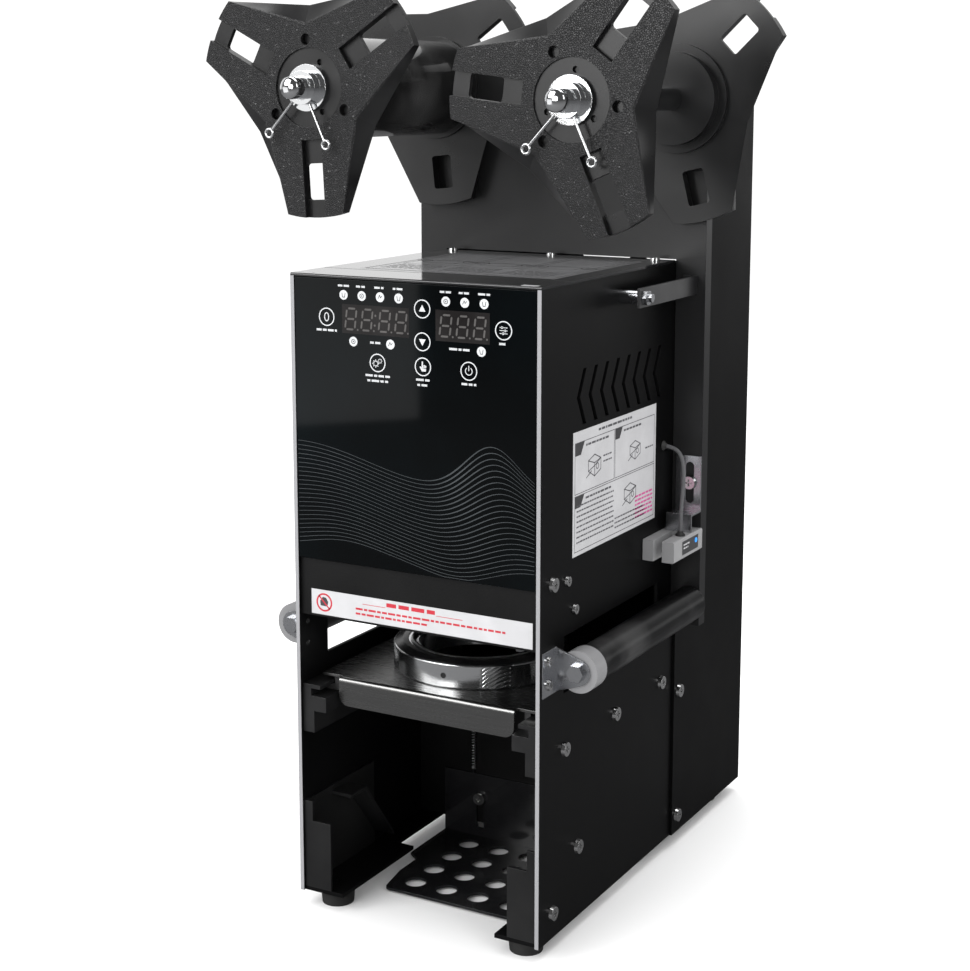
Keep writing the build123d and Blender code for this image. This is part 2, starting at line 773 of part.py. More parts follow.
with BuildPart() as ring_bevel:
    with BuildSketch(Plane.XZ.offset(-cup_y)):
        with BuildLine():
            Polyline(
                (lip_out_r, ring_top),
                (bevel_low_r, ring_top),
                (bevel_low_r, ring_top + 0.5),
                (lip_out_r + 4, lip_top - 0.3),
                (lip_out_r, lip_top - 0.3),
                close=True,
            )
        make_face()
    revolve(axis=Axis((0, cup_y, 0), (0, 0, 1)))
save(ring_bevel.part, "ring_bevel")

# ---------------------------------------------------------------- bulkhead and cup rest
# The bulkhead ties the plates low down, and the cup rest slides up and down on its front.
spring_x = 46.0
spring_y = bulkhead_y - 2.1
anchor_z = bulkhead_top - 9.5
hook_z = tray_plate_top + 3.4
with BuildPart() as bulkhead:
    with BuildSketch(at_y(bulkhead_y + bulkhead_t)):
        area(-inside, inside, base_z + plate_t, rail_low - 5)
        area(-60, 60, rail_low - 5, bulkhead_top)
        with Locations((-tray_slot_x, tray_screw_z), (tray_slot_x, tray_screw_z)):
            Circle(screw_r + shaft_gap, mode=Mode.SUBTRACT)
    extrude(amount=bulkhead_t)
    for side in (-1, 1):
        turn = sorted([side * (inside - bulkhead_t), side * inside])
        low = (turn[0], bulkhead_y + bulkhead_t, base_z + 20)
        block(low, (turn[1], bulkhead_y + 18, rail_low - 5))
    with BuildSketch(at_y(bulkhead_y)):
        with Locations((-spring_x, anchor_z + 1), (spring_x, anchor_z + 1)):
            Circle(1.0)
    extrude(amount=4.0)
save(bulkhead.part, "bulkhead")

# Perforated cup rest: a level sheet just off the floor with its back edge turned up.
tray_front = front_y + 49.0
tray_slot_low = tray_screw_z - tray_travel - screw_r - slide_gap
with BuildPart() as cup_rest_tray:
    with BuildSketch(at_z(tray_z)):
        with BuildLine():
            Polyline(
                (-57, tray_front),
                (57, tray_front),
                (inside - flange_width - 1.5, tray_front + 30),
                (inside - flange_width - 1.5, flange_notch_y + 2),
                (lip_half, flange_notch_y + 10),
                (lip_half, tray_plate_y + tray_t),
                (-lip_half, tray_plate_y + tray_t),
                (-lip_half, flange_notch_y + 10),
                (flange_width + 1.5 - inside, flange_notch_y + 2),
                (flange_width + 1.5 - inside, tray_front + 30),
                close=True,
            )
        make_face()
        with Locations((0, front_y + 108.2)):
            with GridLocations(tray_pitch, tray_pitch, 4, 4):
                Circle(tray_hole_r, mode=Mode.SUBTRACT)
    extrude(amount=tray_t)
    with BuildSketch(at_y(tray_plate_y + tray_t)):
        area(-lip_half, lip_half, tray_z + tray_t, tray_plate_top)
        area(-spring_x - 0.6, -spring_x + 0.6, tray_plate_top, hook_z)
        area(spring_x - 0.6, spring_x + 0.6, tray_plate_top, hook_z)
        for x in (-tray_slot_x, tray_slot_x):
            slot_top = tray_screw_z + screw_r + slide_gap
            area(x - screw_r - slide_gap, x + screw_r + slide_gap, tray_slot_low, slot_top, Mode.SUBTRACT)
    extrude(amount=tray_t)
    fillet(cup_rest_tray.edges().filter_by(Axis.Z).group_by(Axis.Y)[0], 4)
save(cup_rest_tray.part, "cup_rest_tray")

# Two long springs carry part of the cup rest's weight.
tray_wire = 0.45
coil_height = anchor_z - hook_z - 2 * tray_wire
with BuildPart() as tray_springs:
    for x in (-spring_x, spring_x):
        with BuildLine(Plane((x, spring_y, hook_z + tray_wire))):
            Helix(4.0, coil_height, 1.3)
        start = Plane((x + 1.3, spring_y, hook_z + tray_wire), x_dir=(1, 0, 0), z_dir=(0, 1, 0))
        with BuildSketch(start):
            Circle(tray_wire)
        sweep(is_frenet=True)
save(tray_springs.part, "tray_springs")

# Front jambs: folded brackets that stiffen the foot of each side plate.
jamb_y = front_y + 2.0
with BuildPart() as front_jambs:
    for side in (-1, 1):
        front = sorted([side * (inside - 23), side * inside])
        slim = sorted([side * (inside - 7.3), side * inside])
        leg = sorted([side * (inside - sheet_t), side * inside])
        rib = sorted([side * (inside - 20), side * (inside - sheet_t)])
        foot = base_z + plate_t
        block((front[0], jamb_y, foot), (front[1], jamb_y + sheet_t, base_z + 55))
        block((slim[0], jamb_y, base_z + 55), (slim[1], jamb_y + sheet_t, base_z + 70))
        block((leg[0], jamb_y + sheet_t, foot), (leg[1], front_y + 94, base_z + 70))
        with BuildSketch(at_x(rib[0])):
            with BuildLine():
                Polyline(
                    (front_y + 35, base_z + 66),
                    (front_y + 55, base_z + 66),
                    (front_y + 94, base_z + 16),
                    (front_y + 94, base_z + 13),
                    (front_y + 54, base_z + 63.5),
                    (front_y + 35, base_z + 63.5),
                    close=True,
                )
            make_face()
        extrude(amount=rib[1] - rib[0])
        with BuildSketch(at_x(side * inside)):
            with Locations(side_screws[4], side_screws[5]):
                Circle(screw_r + shaft_gap)
        extrude(amount=-side * sheet_t, mode=Mode.SUBTRACT)
save(front_jambs.part, "front_jambs")

# Four tapered rubber feet with a screw recess from below.
with BuildPart() as feet:
    for x in (20 - half, half - 20):
        for y in (front_y + 20, -front_y - 20):
            with BuildSketch(at_z(base_z)):
                with Locations((x, y)):
                    Circle(13)
            extrude(amount=-foot_height, taper=5)
            with BuildSketch(at_z(0)):
                with Locations((x, y)):
                    Circle(5)
            extrude(amount=5, mode=Mode.SUBTRACT)
save(feet.part, "feet")

# ---------------------------------------------------------------- film reels
# Three-armed reel discs. Each arm has a channel with a window between two raised bars.
face_inner_r = 44.0
skirt_inner_r = 58.0
tip_half = 15.0
channel_w = 17.0
channel_deep = 4.5
window_mid = 66.5
reel_length = panel_y - 4.0 - reel_front_y


def star(inner_r, arms):
    """The outline of a three-armed disc with round tips."""
    with BuildLine(Plane.XY) as outline:
        for k in range(3):
            arm = arms + 120 * k
            low = (reel_r * cos(radians(arm - tip_half)), reel_r * sin(radians(arm - tip_half)))
            mid = (reel_r * cos(radians(arm)), reel_r * sin(radians(arm)))
            high = (reel_r * cos(radians(arm + tip_half)), reel_r * sin(radians(arm + tip_half)))
            valley = (inner_r * cos(radians(arm + 60)), inner_r * sin(radians(arm + 60)))
            after = radians(arm + 120 - tip_half)
            ThreePointArc(low, mid, high)
            Line(high, valley)
            Line(valley, (reel_r * cos(after), reel_r * sin(after)))
    return outline.edges()


# name, side, height, angle of one arm on the front disc and on the rear disc
reels = [("left", -1, reel_left_z, -87, -84), ("right", 1, reel_right_z, -67, -76)]
for name, side, reel_z, front_arm, rear_arm in reels:
    for place, face_y, facing, arm in (
        ("front", reel_front_y, -1, front_arm),
        ("rear", reel_front_y + reel_length, 1, rear_arm),
    ):
        # a face plane that looks away from the core, and one that looks along it
        away = Plane((side * reel_x, face_y, reel_z), x_dir=(1, 0, 0), z_dir=(0, -1, 0))
        back_y = face_y - facing * reel_depth
        back = Plane((side * reel_x, back_y, reel_z), x_dir=(1, 0, 0), z_dir=(0, -1, 0))
        inward = facing
        with BuildPart() as reel_disc:
            with BuildSketch(away):
                make_face(star(face_inner_r, arm))
            with BuildSketch(back):
                make_face(star(skirt_inner_r, arm))
            loft()
            with BuildSketch(back):
                Circle(hub_r)
            extrude(amount=inward * 3)
            with BuildSketch(back.offset(inward * 3)):
                Circle(spigot_r)
            extrude(amount=inward * 8)
            with BuildSketch(away):
                with PolarLocations(window_mid, 3, start_angle=arm):
                    Rectangle(2 * (reel_r - window_mid + 4), channel_w)
            extrude(amount=inward * channel_deep, mode=Mode.SUBTRACT)
            with BuildSketch(away):
                with PolarLocations(window_mid, 3, start_angle=arm):
                    RectangleRounded(26, channel_w - 0.02, 2.5)
            extrude(amount=inward * (reel_depth + 1), mode=Mode.SUBTRACT)
            with BuildSketch(away):
                Circle(28)
            extrude(amount=inward * 1.5, mode=Mode.SUBTRACT)
            with BuildSketch(away):
                with PolarLocations(34, 3, start_angle=arm + 60):
                    Circle(4)
            extrude(amount=inward * 5, mode=Mode.SUBTRACT)
            with BuildSketch(away):
                with PolarLocations(20, 3, start_angle=arm + 30):
                    Circle(2.2)
            extrude(amount=inward * 4, mode=Mode.SUBTRACT)
            with BuildSketch(away):
                Circle(reel_shaft_r)
            extrude(amount=inward * (reel_depth + 12), mode=Mode.SUBTRACT)
        save(reel_disc.part, f"{name}_{place}_disc")

    # shaft, turned down at its nose in front of the collar
    shoulder_y = reel_front_y - 9.5
    nose_y = reel_front_y - 24.0
    with BuildPart() as reel_shaft:
        with BuildSketch(at_y(panel_y + 18)):
            with Locations((side * reel_x, reel_z)):
                Circle(reel_shaft_r)
        extrude(amount=panel_y + 18 - shoulder_y)
        with BuildSketch(at_y(shoulder_y)):
            with Locations((side * reel_x, reel_z)):
                Circle(reel_nose_r)
        extrude(amount=shoulder_y - nose_y)
        chamfer(reel_shaft.faces().sort_by(Axis.Y)[0].edges(), 1.5)
    save(reel_shaft.part, f"{name}_reel_shaft")

    # bright washer and collar on the nose, with the two wire legs of a spring clip
    wire = 1.1
    clip_reach = 41.0
    with BuildPart() as reel_retainer:
        with BuildSketch(at_y(reel_front_y + 1.5)):
            with Locations((side * reel_x, reel_z)):
                Circle(16.6)
                Circle(reel_shaft_r, mode=Mode.SUBTRACT)
        extrude(amount=4.0)
        with BuildSketch(at_y(reel_front_y - 2.5)):
            with Locations((side * reel_x, reel_z)):
                Circle(12)
                Circle(reel_shaft_r, mode=Mode.SUBTRACT)
        extrude(amount=7.0)
        clip_y = reel_front_y - 6.0
        for leg_angle in (-133, -65):
            leg_x = cos(radians(leg_angle))
            leg_z = sin(radians(leg_angle))
            root = (side * reel_x + 11 * leg_x, clip_y, reel_z + 11 * leg_z)
            with BuildSketch(Plane(root, z_dir=(leg_x, 0, leg_z))):
                Circle(wire)
            extrude(amount=clip_reach - 11)
            eye = (side * reel_x + (clip_reach + 3) * leg_x, clip_y, reel_z + (clip_reach + 3) * leg_z)
            rim = (side * reel_x + clip_reach * leg_x, clip_y, reel_z + clip_reach * leg_z)
            with BuildSketch(Plane(rim, x_dir=(leg_x, 0, leg_z), z_dir=(leg_z, 0, -leg_x))):
                Circle(wire)
            revolve(axis=Axis(eye, (0, 1, 0)))
    save(reel_retainer.part, f"{name}_reel_retainer")

# The film's core, on the spigots of the left reel.
with BuildPart() as left_film_core:
    with BuildSketch(at_y(reel_front_y + reel_length - reel_depth - 3)):
        with Locations((-reel_x, reel_left_z)):
            Circle(core_r)
            Circle(spigot_r + 0.2, mode=Mode.SUBTRACT)
    extrude(amount=reel_length - 2 * reel_depth - 6)
save(left_film_core.part, "left_film_core")

# Flanged bearings of both shafts in the reel panel.
with BuildPart() as reel_bearings:
    for side, reel_z in ((-1, reel_left_z), (1, reel_right_z)):
        with BuildSketch(at_y(panel_y)):
            with Locations((side * reel_x, reel_z)):
                Circle(17)
        extrude(amount=2.0)
        with BuildSketch(at_y(panel_y + 8)):
            with Locations((side * reel_x, reel_z)):
                Circle(13)
        extrude(amount=8.0)
        with BuildSketch(at_y(panel_y + 9)):
            with Locations((side * reel_x, reel_z)):
                Circle(reel_shaft_r + shaft_gap)
        extrude(amount=12.0, mode=Mode.SUBTRACT)
save(reel_bearings.part, "reel_bearings")

# Gearmotor that turns the left reel, behind the panel.
with BuildPart() as take_up_gearmotor:
    with BuildSketch(at_y(panel_y + 24)):
        with Locations((-reel_x, reel_left_z)):
            Circle(15.5)
    extrude(amount=16)
    with BuildSketch(at_y(panel_y + 64)):
        with Locations((-reel_x, reel_left_z)):
            Circle(12.5)
    extrude(amount=40)
    with BuildSketch(at_y(panel_y + 18.3)):
        with Locations((-reel_x, reel_left_z)):
            Circle(reel_shaft_r + shaft_gap)
    extrude(amount=11, mode=Mode.SUBTRACT)
save(take_up_gearmotor.part, "take_up_gearmotor")

# ---------------------------------------------------------------- film guide rollers
roller_front = ear_y + slide_gap
roller_back = panel_y - 3.0
for name, side in sides:
    with BuildPart() as guide_roller:
        with BuildSketch(at_y(roller_back - 6)):
            with Locations((side * guide_x, guide_z)):
                Circle(guide_r)
                Circle(guide_r - 2, mode=Mode.SUBTRACT)
        extrude(amount=roller_back - 6 - roller_front - 15)
        with BuildSketch(at_y(roller_front + 15)):
            with Locations((side * guide_x, guide_z)):
                Circle(guide_cap_r)
        extrude(amount=15)
        with BuildSketch(at_y(roller_back)):
            with Locations((side * guide_x, guide_z)):
                Circle(guide_r)
        extrude(amount=6)
        with BuildSketch(at_y(roller_back)):
            with Locations((side * guide_x, guide_z)):
                Circle(guide_axle_r + shaft_gap)
        extrude(amount=roller_back - roller_front, mode=Mode.SUBTRACT)
    save(guide_roller.part, f"{name}_guide_roller")

# Zinc angle brackets at the rollers' front ends.
with BuildPart() as roller_brackets:
    for side in (-1, 1):
        face = sorted([side * half, side * (half + thin_t)])
        block((face[0], front_y + 2, guide_z - 16), (face[1], ear_y, guide_z + 16))
        with BuildSketch(at_y(ear_y)):
            with BuildLine():
                low = (side * half, guide_z - 16)
                tip_low = (side * (guide_x + 5), guide_z - 8.3)
                tip = (side * (guide_x + 9.6), guide_z)
                tip_high = (side * (guide_x + 5), guide_z + 8.3)
                high = (side * half, guide_z + 16)
                Line(high, low)
                Line(low, tip_low)
                ThreePointArc(tip_low, tip, tip_high)
                Line(tip_high, high)
            make_face()
            with Locations((side * guide_x, guide_z)):
                Circle(guide_axle_r + shaft_gap, mode=Mode.SUBTRACT)
        extrude(amount=thin_t)
        with BuildSketch(at_x(side * half)):
            with Locations(*bracket_screws):
                Circle(small_r + shaft_gap)
        extrude(amount=side * thin_t, mode=Mode.SUBTRACT)
save(roller_brackets.part, "roller_brackets")

# Long bolts that are the rollers' axles, with their nuts behind the panel.
with BuildPart() as roller_axles:
    for side in (-1, 1):
        with BuildSketch(at_y(ear_y - thin_t)):
            with Locations((side * guide_x, guide_z)):
                RegularPolygon(6.5, 6)
        extrude(amount=4.0)
        with BuildSketch(at_y(panel_y + sheet_t + 6)):
            with Locations((side * guide_x, guide_z)):
                Circle(guide_axle_r)
        extrude(amount=panel_y + sheet_t + 6 - ear_y + thin_t)
        with BuildSketch(at_y(panel_y + sheet_t + 5)):
            with Locations((side * guide_x, guide_z)):
                RegularPolygon(5.0, 6)
        extrude(amount=5.0)
save(roller_axles.part, "roller_axles")

# ---------------------------------------------------------------- film sensor
# A fork that the film's edge runs through, on a cranked bracket on the panel.
sensor_low = base_z + 241.0
sensor_high = sensor_low + 16.0
sensor_front = front_y + 165.0
fork_left = half + 9.2
fork_right = half + 16.2
with BuildPart() as film_sensor:
    block((half + 0.5, sensor_front, sensor_low), (half + 26, panel_y, sensor_high))
    fork_low = (fork_left, sensor_front, sensor_low)
    block(fork_low, (fork_right, sensor_front + 35, sensor_high), Mode.SUBTRACT)
    chamfer(film_sensor.edges().filter_by(Axis.Y).group_by(Axis.X)[-1], 0.8)
save(film_sensor.part, "film_sensor")

sensor_screw_z = sensor_high + 35.0
with BuildPart() as sensor_bracket:
    with BuildSketch(at_y(panel_y)):
        area(half + 3.8, panel_half, sensor_high + 14, sensor_high + 56)
        with Locations((half + 15.6, sensor_screw_z)):
            SlotOverall(32, 2 * screw_r + 0.6, rotation=90, mode=Mode.SUBTRACT)
    extrude(amount=thin_t)
    shelf_y = panel_y - 19.0
    block((half + 3.8, shelf_y, sensor_high + 12.5), (panel_half, panel_y, sensor_high + 14))
    block((half + 3.8, shelf_y, sensor_high), (panel_half, shelf_y + thin_t, sensor_high + 12.5))
save(sensor_bracket.part, "sensor_bracket")

# The sensor's cable, from a hole in the side plate down to the sensor.
cable_r = 1.5
cable_points = [
    (half, panel_y - 18.2, sensor_high + 65.2),
    (half + 12, panel_y - 18.2, sensor_high + 65.2),
    (half + 19.4, panel_y - 22, sensor_high + 53),
    (half + 21, panel_y - 27, sensor_high + 36),
    (half + 20.6, panel_y - 30, sensor_high + 18),
    (half + 20.6, panel_y - 30, sensor_high),
]


def corner_radii(points):
    """For each corner, the arc that takes 0.45 of the shorter run beside it."""
    radii = []
    for before, at, after in zip(points, points[1:], points[2:]):
        back = Vector(*at) - Vector(*before)
        ahead = Vector(*after) - Vector(*at)
        turn = radians(back.get_angle(ahead))
        radii.append(0.45 * min(back.length, ahead.length) / tan(turn / 2))
    return radii


cable_bends = corner_radii(cable_points)
print("sensor cable bends", [round(bend, 1) for bend in cable_bends])
with BuildPart() as sensor_cable:
    with BuildLine() as cable_path:
        FilletPolyline(*cable_points, radius=cable_bends)
    with BuildSketch(Plane(cable_path.line @ 0, z_dir=cable_path.line % 0)):
        Circle(cable_r)
    sweep()
save(sensor_cable.part, "sensor_cable")
run_length = sum(edge.length for edge in cable_path.edges())
share = sensor_cable.part.volume / (pi * cable_r**2 * run_length)
print("sensor cable length", round(run_length, 1), "volume over section times length", round(share, 3))

# ---------------------------------------------------------------- braces
# Flat strips that stay the reel panel from the side plates, on bolts with spacers.
strip_x = half + brace_stand
with BuildPart() as brace_strips:
    for side in (-1, 1):
        strip = sorted([side * strip_x, side * (strip_x + sheet_t)])
        tab = sorted([side * (strip_x - 9), side * (strip_x + sheet_t)])
        block((strip[0], brace_y - 7, brace_z - 7), (strip[1], panel_y - sheet_t, brace_z + 7))
        block((tab[0], panel_y - sheet_t, brace_z - 7), (tab[1], panel_y, brace_z + 7))
        with BuildSketch(at_x(side * strip_x)):
            with Locations((brace_y, brace_z)):
                Circle(screw_r + shaft_gap)
        extrude(amount=side * sheet_t, mode=Mode.SUBTRACT)
save(brace_strips.part, "brace_strips")

with BuildPart() as brace_bolts:
    for side in (-1, 1):
        with BuildSketch(at_x(side * half)):
            with Locations((brace_y, brace_z)):
                Circle(5)
        extrude(amount=side * brace_stand)
        with BuildSketch(at_x(side * (strip_x + sheet_t))):
            with Locations((brace_y, brace_z)):
                RegularPolygon(5.6, 6)
        extrude(amount=side * 4)
        with BuildSketch(at_x(side * (inside - 5))):
            with Locations((brace_y, brace_z)):
                RegularPolygon(5.6, 6)
        extrude(amount=side * 5)
        with BuildSketch(at_x(side * (inside - 6))):
            with Locations((brace_y, brace_z)):
                Circle(screw_r)
        extrude(amount=side * (strip_x + sheet_t + 7 - inside + 6))
save(brace_bolts.part, "brace_bolts")

# ---------------------------------------------------------------- column electrics
with BuildPart() as power_supply:
    block((-50, rear_y - 62, inlet_z + 180), (50, rear_y - sheet_t, inlet_z + 340))
    with BuildSketch(at_y(rear_y - 62)):
        with Locations((0, inlet_z + 260)):
            with GridLocations(10, 14, 8, 9):
                Circle(2.5)
    extrude(amount=-2, mode=Mode.SUBTRACT)
save(power_supply.part, "power_supply")

# Mains inlet with three pins, and the frame of the rocker switch above it.
switch_y = rear_y - 3.0
switch_half_x = 5.4
switch_half_z = 8.2
with BuildPart() as mains_inlet:
    block((60 - 13.65, rear_y - 26, inlet_z - 10.15), (60 + 13.65, rear_y, inlet_z + 10.15))
    block((60 - 16, rear_y, inlet_z - 12.5), (60 + 16, rear_y + 2.5, inlet_z + 12.5))
    block((60 - 12, rear_y - 14, inlet_z - 8), (60 + 12, rear_y + 3, inlet_z + 8), Mode.SUBTRACT)
    for x, z in ((-7, -2), (7, -2), (0, 2)):
        block((60 + x - 1, rear_y - 14, inlet_z + z - 2), (60 + x + 1, rear_y - 5, inlet_z + z + 2))
    block((60 - 6.65, rear_y - 16, switch_z - 9.65), (60 + 6.65, rear_y, switch_z + 9.65))
    block((60 - 8, rear_y, switch_z - 11.5), (60 + 8, rear_y + 1.5, switch_z + 11.5))
    low = (60 - switch_half_x, rear_y - 13, switch_z - switch_half_z)
    block(low, (60 + switch_half_x, rear_y + 2, switch_z + switch_half_z), Mode.SUBTRACT)
save(mains_inlet.part, "mains_inlet")

# The rocker, tilted to its off side.
switch_tilt = 10.0
switch_pin_r = 1.2
with BuildPart() as power_switch:
    pivot = (60 - switch_half_x + slide_gap, switch_y, switch_z)
    tilt = (0, cos(radians(switch_tilt)), sin(radians(switch_tilt)))
    with BuildSketch(Plane(pivot, x_dir=tilt, z_dir=(1, 0, 0))):
        with BuildLine():
            Polyline(
                (-5, -3),
                (-1, -6.8),
                (5, -6.8),
                (3.4, 0),
                (5, 6.8),
                (-1, 6.8),
                (-5, 3),
                close=True,
            )
        make_face()
        Circle(switch_pin_r, mode=Mode.SUBTRACT)
    extrude(amount=2 * (switch_half_x - slide_gap))
save(power_switch.part, "power_switch")

# ---------------------------------------------------------------- fasteners
cross_w = 1.1
cross_l = 5.2


def pan_screw(head_r, head_t, shank_r, length):
    """A cross-recess pan screw with its seat on the XY plane and its head up."""
    with BuildPart() as screw:
        with BuildSketch():
            Circle(head_r)
        extrude(amount=head_t, taper=14)
        with BuildSketch(Plane.XY.offset(head_t)):
            Rectangle(cross_l * head_r / screw_head_r, cross_w)
            Rectangle(cross_w, cross_l * head_r / screw_head_r)
        extrude(amount=-head_t * 0.55, mode=Mode.SUBTRACT)
        with BuildSketch():
            Circle(shank_r)
        extrude(amount=-length)
    return screw.part


def outwards(side, x, y, z):
    """The seat of a screw on a side face, looking away from the machine."""
    return Plane((side * x, y, z), x_dir=(0, 1, 0), z_dir=(side, 0, 0))


def forwards(x, y, z):
    """The seat of a screw on a front face, looking forwards."""
    return Plane((x, y, z), x_dir=(1, 0, 0), z_dir=(0, -1, 0))


big = (screw_head_r, screw_head_t, screw_r)
rail_screw = pan_screw(*big, 9)
plate_screw = pan_screw(*big, plate_t)
jamb_screw = pan_screw(*big, plate_t + sheet_t)
tray_screw = pan_screw(*big, 6)
sensor_screw = pan_screw(*big, thin_t)
with BuildPart() as panel_screws:
    for side in (-1, 1):
        with Locations(*[outwards(side, half, y, z) for y, z in rail_screws]):
            add(rail_screw)
        with Locations(outwards(side, half, *side_screws[3])):
            add(plate_screw)
        with Locations(*[outwards(side, half, y, z) for y, z in side_screws[4:]]):
            add(jamb_screw)
        with Locations(*[outwards(side, column_half, y, z) for y, z in column_screws]):
            add(jamb_screw)
        with Locations(forwards(side * tray_slot_x, tray_plate_y - slide_gap, tray_screw_z)):
            add(tray_screw)
    with Locations(forwards(half + 15.6, panel_y - thin_t, sensor_screw_z)):
        add(sensor_screw)
save(panel_screws.part, "panel_screws")

small = (small_head_r, small_head_t, small_r)
deck_screw = pan_screw(*small, 2 * plate_t)
bracket_screw = pan_screw(*small, plate_t + thin_t)
cover_screw = pan_screw(*small, cover_t)
with BuildPart() as small_screws:
    for side in (-1, 1):
        with Locations(*[outwards(side, half, y, z) for y, z in deck_screws]):
            add(deck_screw)
        with Locations(*[outwards(side, half + thin_t, y, z) for y, z in bracket_screws]):
            add(bracket_screw)
    with Locations(*[(x, cover_rear - 10, head_z) for x in (12 - half, 0, half - 12)]):
        add(cover_screw)
save(small_screws.part, "small_screws")
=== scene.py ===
import math
import random

import bmesh
import bpy
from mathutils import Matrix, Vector


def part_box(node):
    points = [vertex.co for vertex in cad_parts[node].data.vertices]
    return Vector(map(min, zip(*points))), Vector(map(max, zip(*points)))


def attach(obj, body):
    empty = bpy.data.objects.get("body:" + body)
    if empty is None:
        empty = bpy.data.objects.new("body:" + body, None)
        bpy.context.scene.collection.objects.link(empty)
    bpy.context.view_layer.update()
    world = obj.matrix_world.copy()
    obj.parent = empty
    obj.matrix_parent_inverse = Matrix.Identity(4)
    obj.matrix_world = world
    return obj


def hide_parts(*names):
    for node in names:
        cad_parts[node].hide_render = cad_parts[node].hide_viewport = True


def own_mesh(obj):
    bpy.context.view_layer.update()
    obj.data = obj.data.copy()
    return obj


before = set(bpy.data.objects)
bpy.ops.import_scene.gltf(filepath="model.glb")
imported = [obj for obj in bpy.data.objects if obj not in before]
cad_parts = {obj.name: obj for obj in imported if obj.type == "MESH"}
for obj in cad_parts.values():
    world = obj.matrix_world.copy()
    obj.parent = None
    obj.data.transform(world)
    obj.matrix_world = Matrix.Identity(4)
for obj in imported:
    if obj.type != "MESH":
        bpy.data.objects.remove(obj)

# ---------------------------------------------------------------- floor, light and camera
# A pale studio: one seamless floor, large soft boxes and a camera at chest height
# that stands to the right of the machine and looks slightly down on it.
for name in ("Cube", "Light", "Camera"):
    if name in bpy.data.objects:
        bpy.data.objects.remove(bpy.data.objects[name])
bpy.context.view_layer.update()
mm = 0.001
scene = bpy.context.scene
scene.view_settings.view_transform = "Standard"

camera_data = bpy.data.cameras.new("camera")
camera_data.lens = 67.2
camera_data.shift_y = -0.10
camera = bpy.data.objects.new("camera", camera_data)
camera.location = (0.6437, -1.2243, 0.602)
camera.rotation_euler = (math.radians(80.6), 0, math.radians(29.3))
scene.collection.objects.link(camera)
scene.camera = camera

# The backdrop is white. Black flags in front and to the right keep it out of the gloss,
# so only the sector behind and to the left of the machine shows in its surfaces.
studio = bpy.data.worlds.new("studio")
studio.use_nodes = True
tree = studio.node_tree
backdrop = tree.nodes["Background"]
facing = tree.nodes.new("ShaderNodeVectorMath")
facing.operation = "DOT_PRODUCT"
facing.inputs[1].default_value = (-0.72, 0.69, 0.1)
tree.links.new(tree.nodes.new("ShaderNodeTexCoord").outputs["Generated"], facing.inputs[0])
sector = tree.nodes.new("ShaderNodeMapRange")
sector.interpolation_type = "SMOOTHSTEP"
for socket, value in (("From Min", 0.25), ("From Max", 0.75), ("To Min", 0.07), ("To Max", 0.9)):
    sector.inputs[socket].default_value = value
tree.links.new(facing.outputs["Value"], sector.inputs["Value"])
light_path = tree.nodes.new("ShaderNodeLightPath")
strength = sector.outputs["Result"]
for ray in ("Is Camera Ray", "Is Diffuse Ray"):
    seen = tree.nodes.new("ShaderNodeMath")
    seen.operation = "MAXIMUM"
    tree.links.new(light_path.outputs[ray], seen.inputs[0])
    tree.links.new(strength, seen.inputs[1])
    strength = seen.outputs[0]
tree.links.new(strength, backdrop.inputs["Strength"])
backdrop_white = 1.1
backdrop.inputs["Color"].default_value = (backdrop_white, backdrop_white, backdrop_white, 1)
scene.world = studio


def soft_box(name, place, aim, width, height, watts):
    """A rectangular studio light that faces the point aimed at."""
    light = bpy.data.lights.new(name, "AREA")
    light.shape = "RECTANGLE"
    light.size = width
    light.size_y = height
    light.energy = watts
    box = bpy.data.objects.new(name, light)
    box.location = place
    box.rotation_euler = (Vector(aim) - Vector(place)).to_track_quat("-Z", "Y").to_euler()
    scene.collection.objects.link(box)


soft_box("key_box", (-1.4, -1.9, 1.7), (0, 0, 0.3), 1.3, 1.5, 34)
soft_box("top_box", (0.1, 0.3, 2.2), (0, 0, 0.3), 2.0, 1.6, 30)
soft_box("right_box", (2.1, -1.3, 1.5), (0.1, 0, 0.3), 0.9, 1.2, 10)
soft_box("side_strip", (1.3, 2.1, 0.42), (0.1, 0, 0.2), 1.6, 0.36, 1.6)
soft_box("reel_sheen", (-0.44, -2.0, 0.82), (0.1, -0.17, 0.6), 0.7, 0.55, 8)
soft_box("low_panel", (-1.42, -1.5, 0.36), (0, -0.2, 0.36), 1.1, 0.7, 2.4)


def new_finish(name, colour, roughness, metallic=0.0, **sockets):
    """A finish, and its shader, with the values that are the same all over the surface."""
    finish = bpy.data.materials.new(name)
    finish.use_nodes = True
    shader = finish.node_tree.nodes["Principled BSDF"]
    shader.inputs["Base Color"].default_value = (*colour, 1)
    shader.inputs["Roughness"].default_value = roughness
    shader.inputs["Metallic"].default_value = metallic
    for socket, value in sockets.items():
        shader.inputs[socket.replace("_", " ")].default_value = value
    return finish, shader


def new_group(name, ins, outs):
    """A shader node group with named inputs and outputs, and its two end nodes."""
    group = bpy.data.node_groups.new(name, "ShaderNodeTree")
    for label, kind, value in ins:
        socket = group.interface.new_socket(label, in_out="INPUT", socket_type="NodeSocket" + kind)
        socket.default_value = value
    for label, kind in outs:
        group.interface.new_socket(label, in_out="OUTPUT", socket_type="NodeSocket" + kind)
    return group, group.nodes.new("NodeGroupInput"), group.nodes.new("NodeGroupOutput")


def node_in(tree, kind, values=None, **settings):
    """A node with its settings, and its inputs filled with values or joined to sockets."""
    node = tree.nodes.new("ShaderNode" + kind)
    for key, value in settings.items():
        setattr(node, key, value)
    for key, value in (values or {}).items():
        if isinstance(value, bpy.types.NodeSocket):
            tree.links.new(value, node.inputs[key])
        else:
            node.inputs[key].default_value = value
    return node


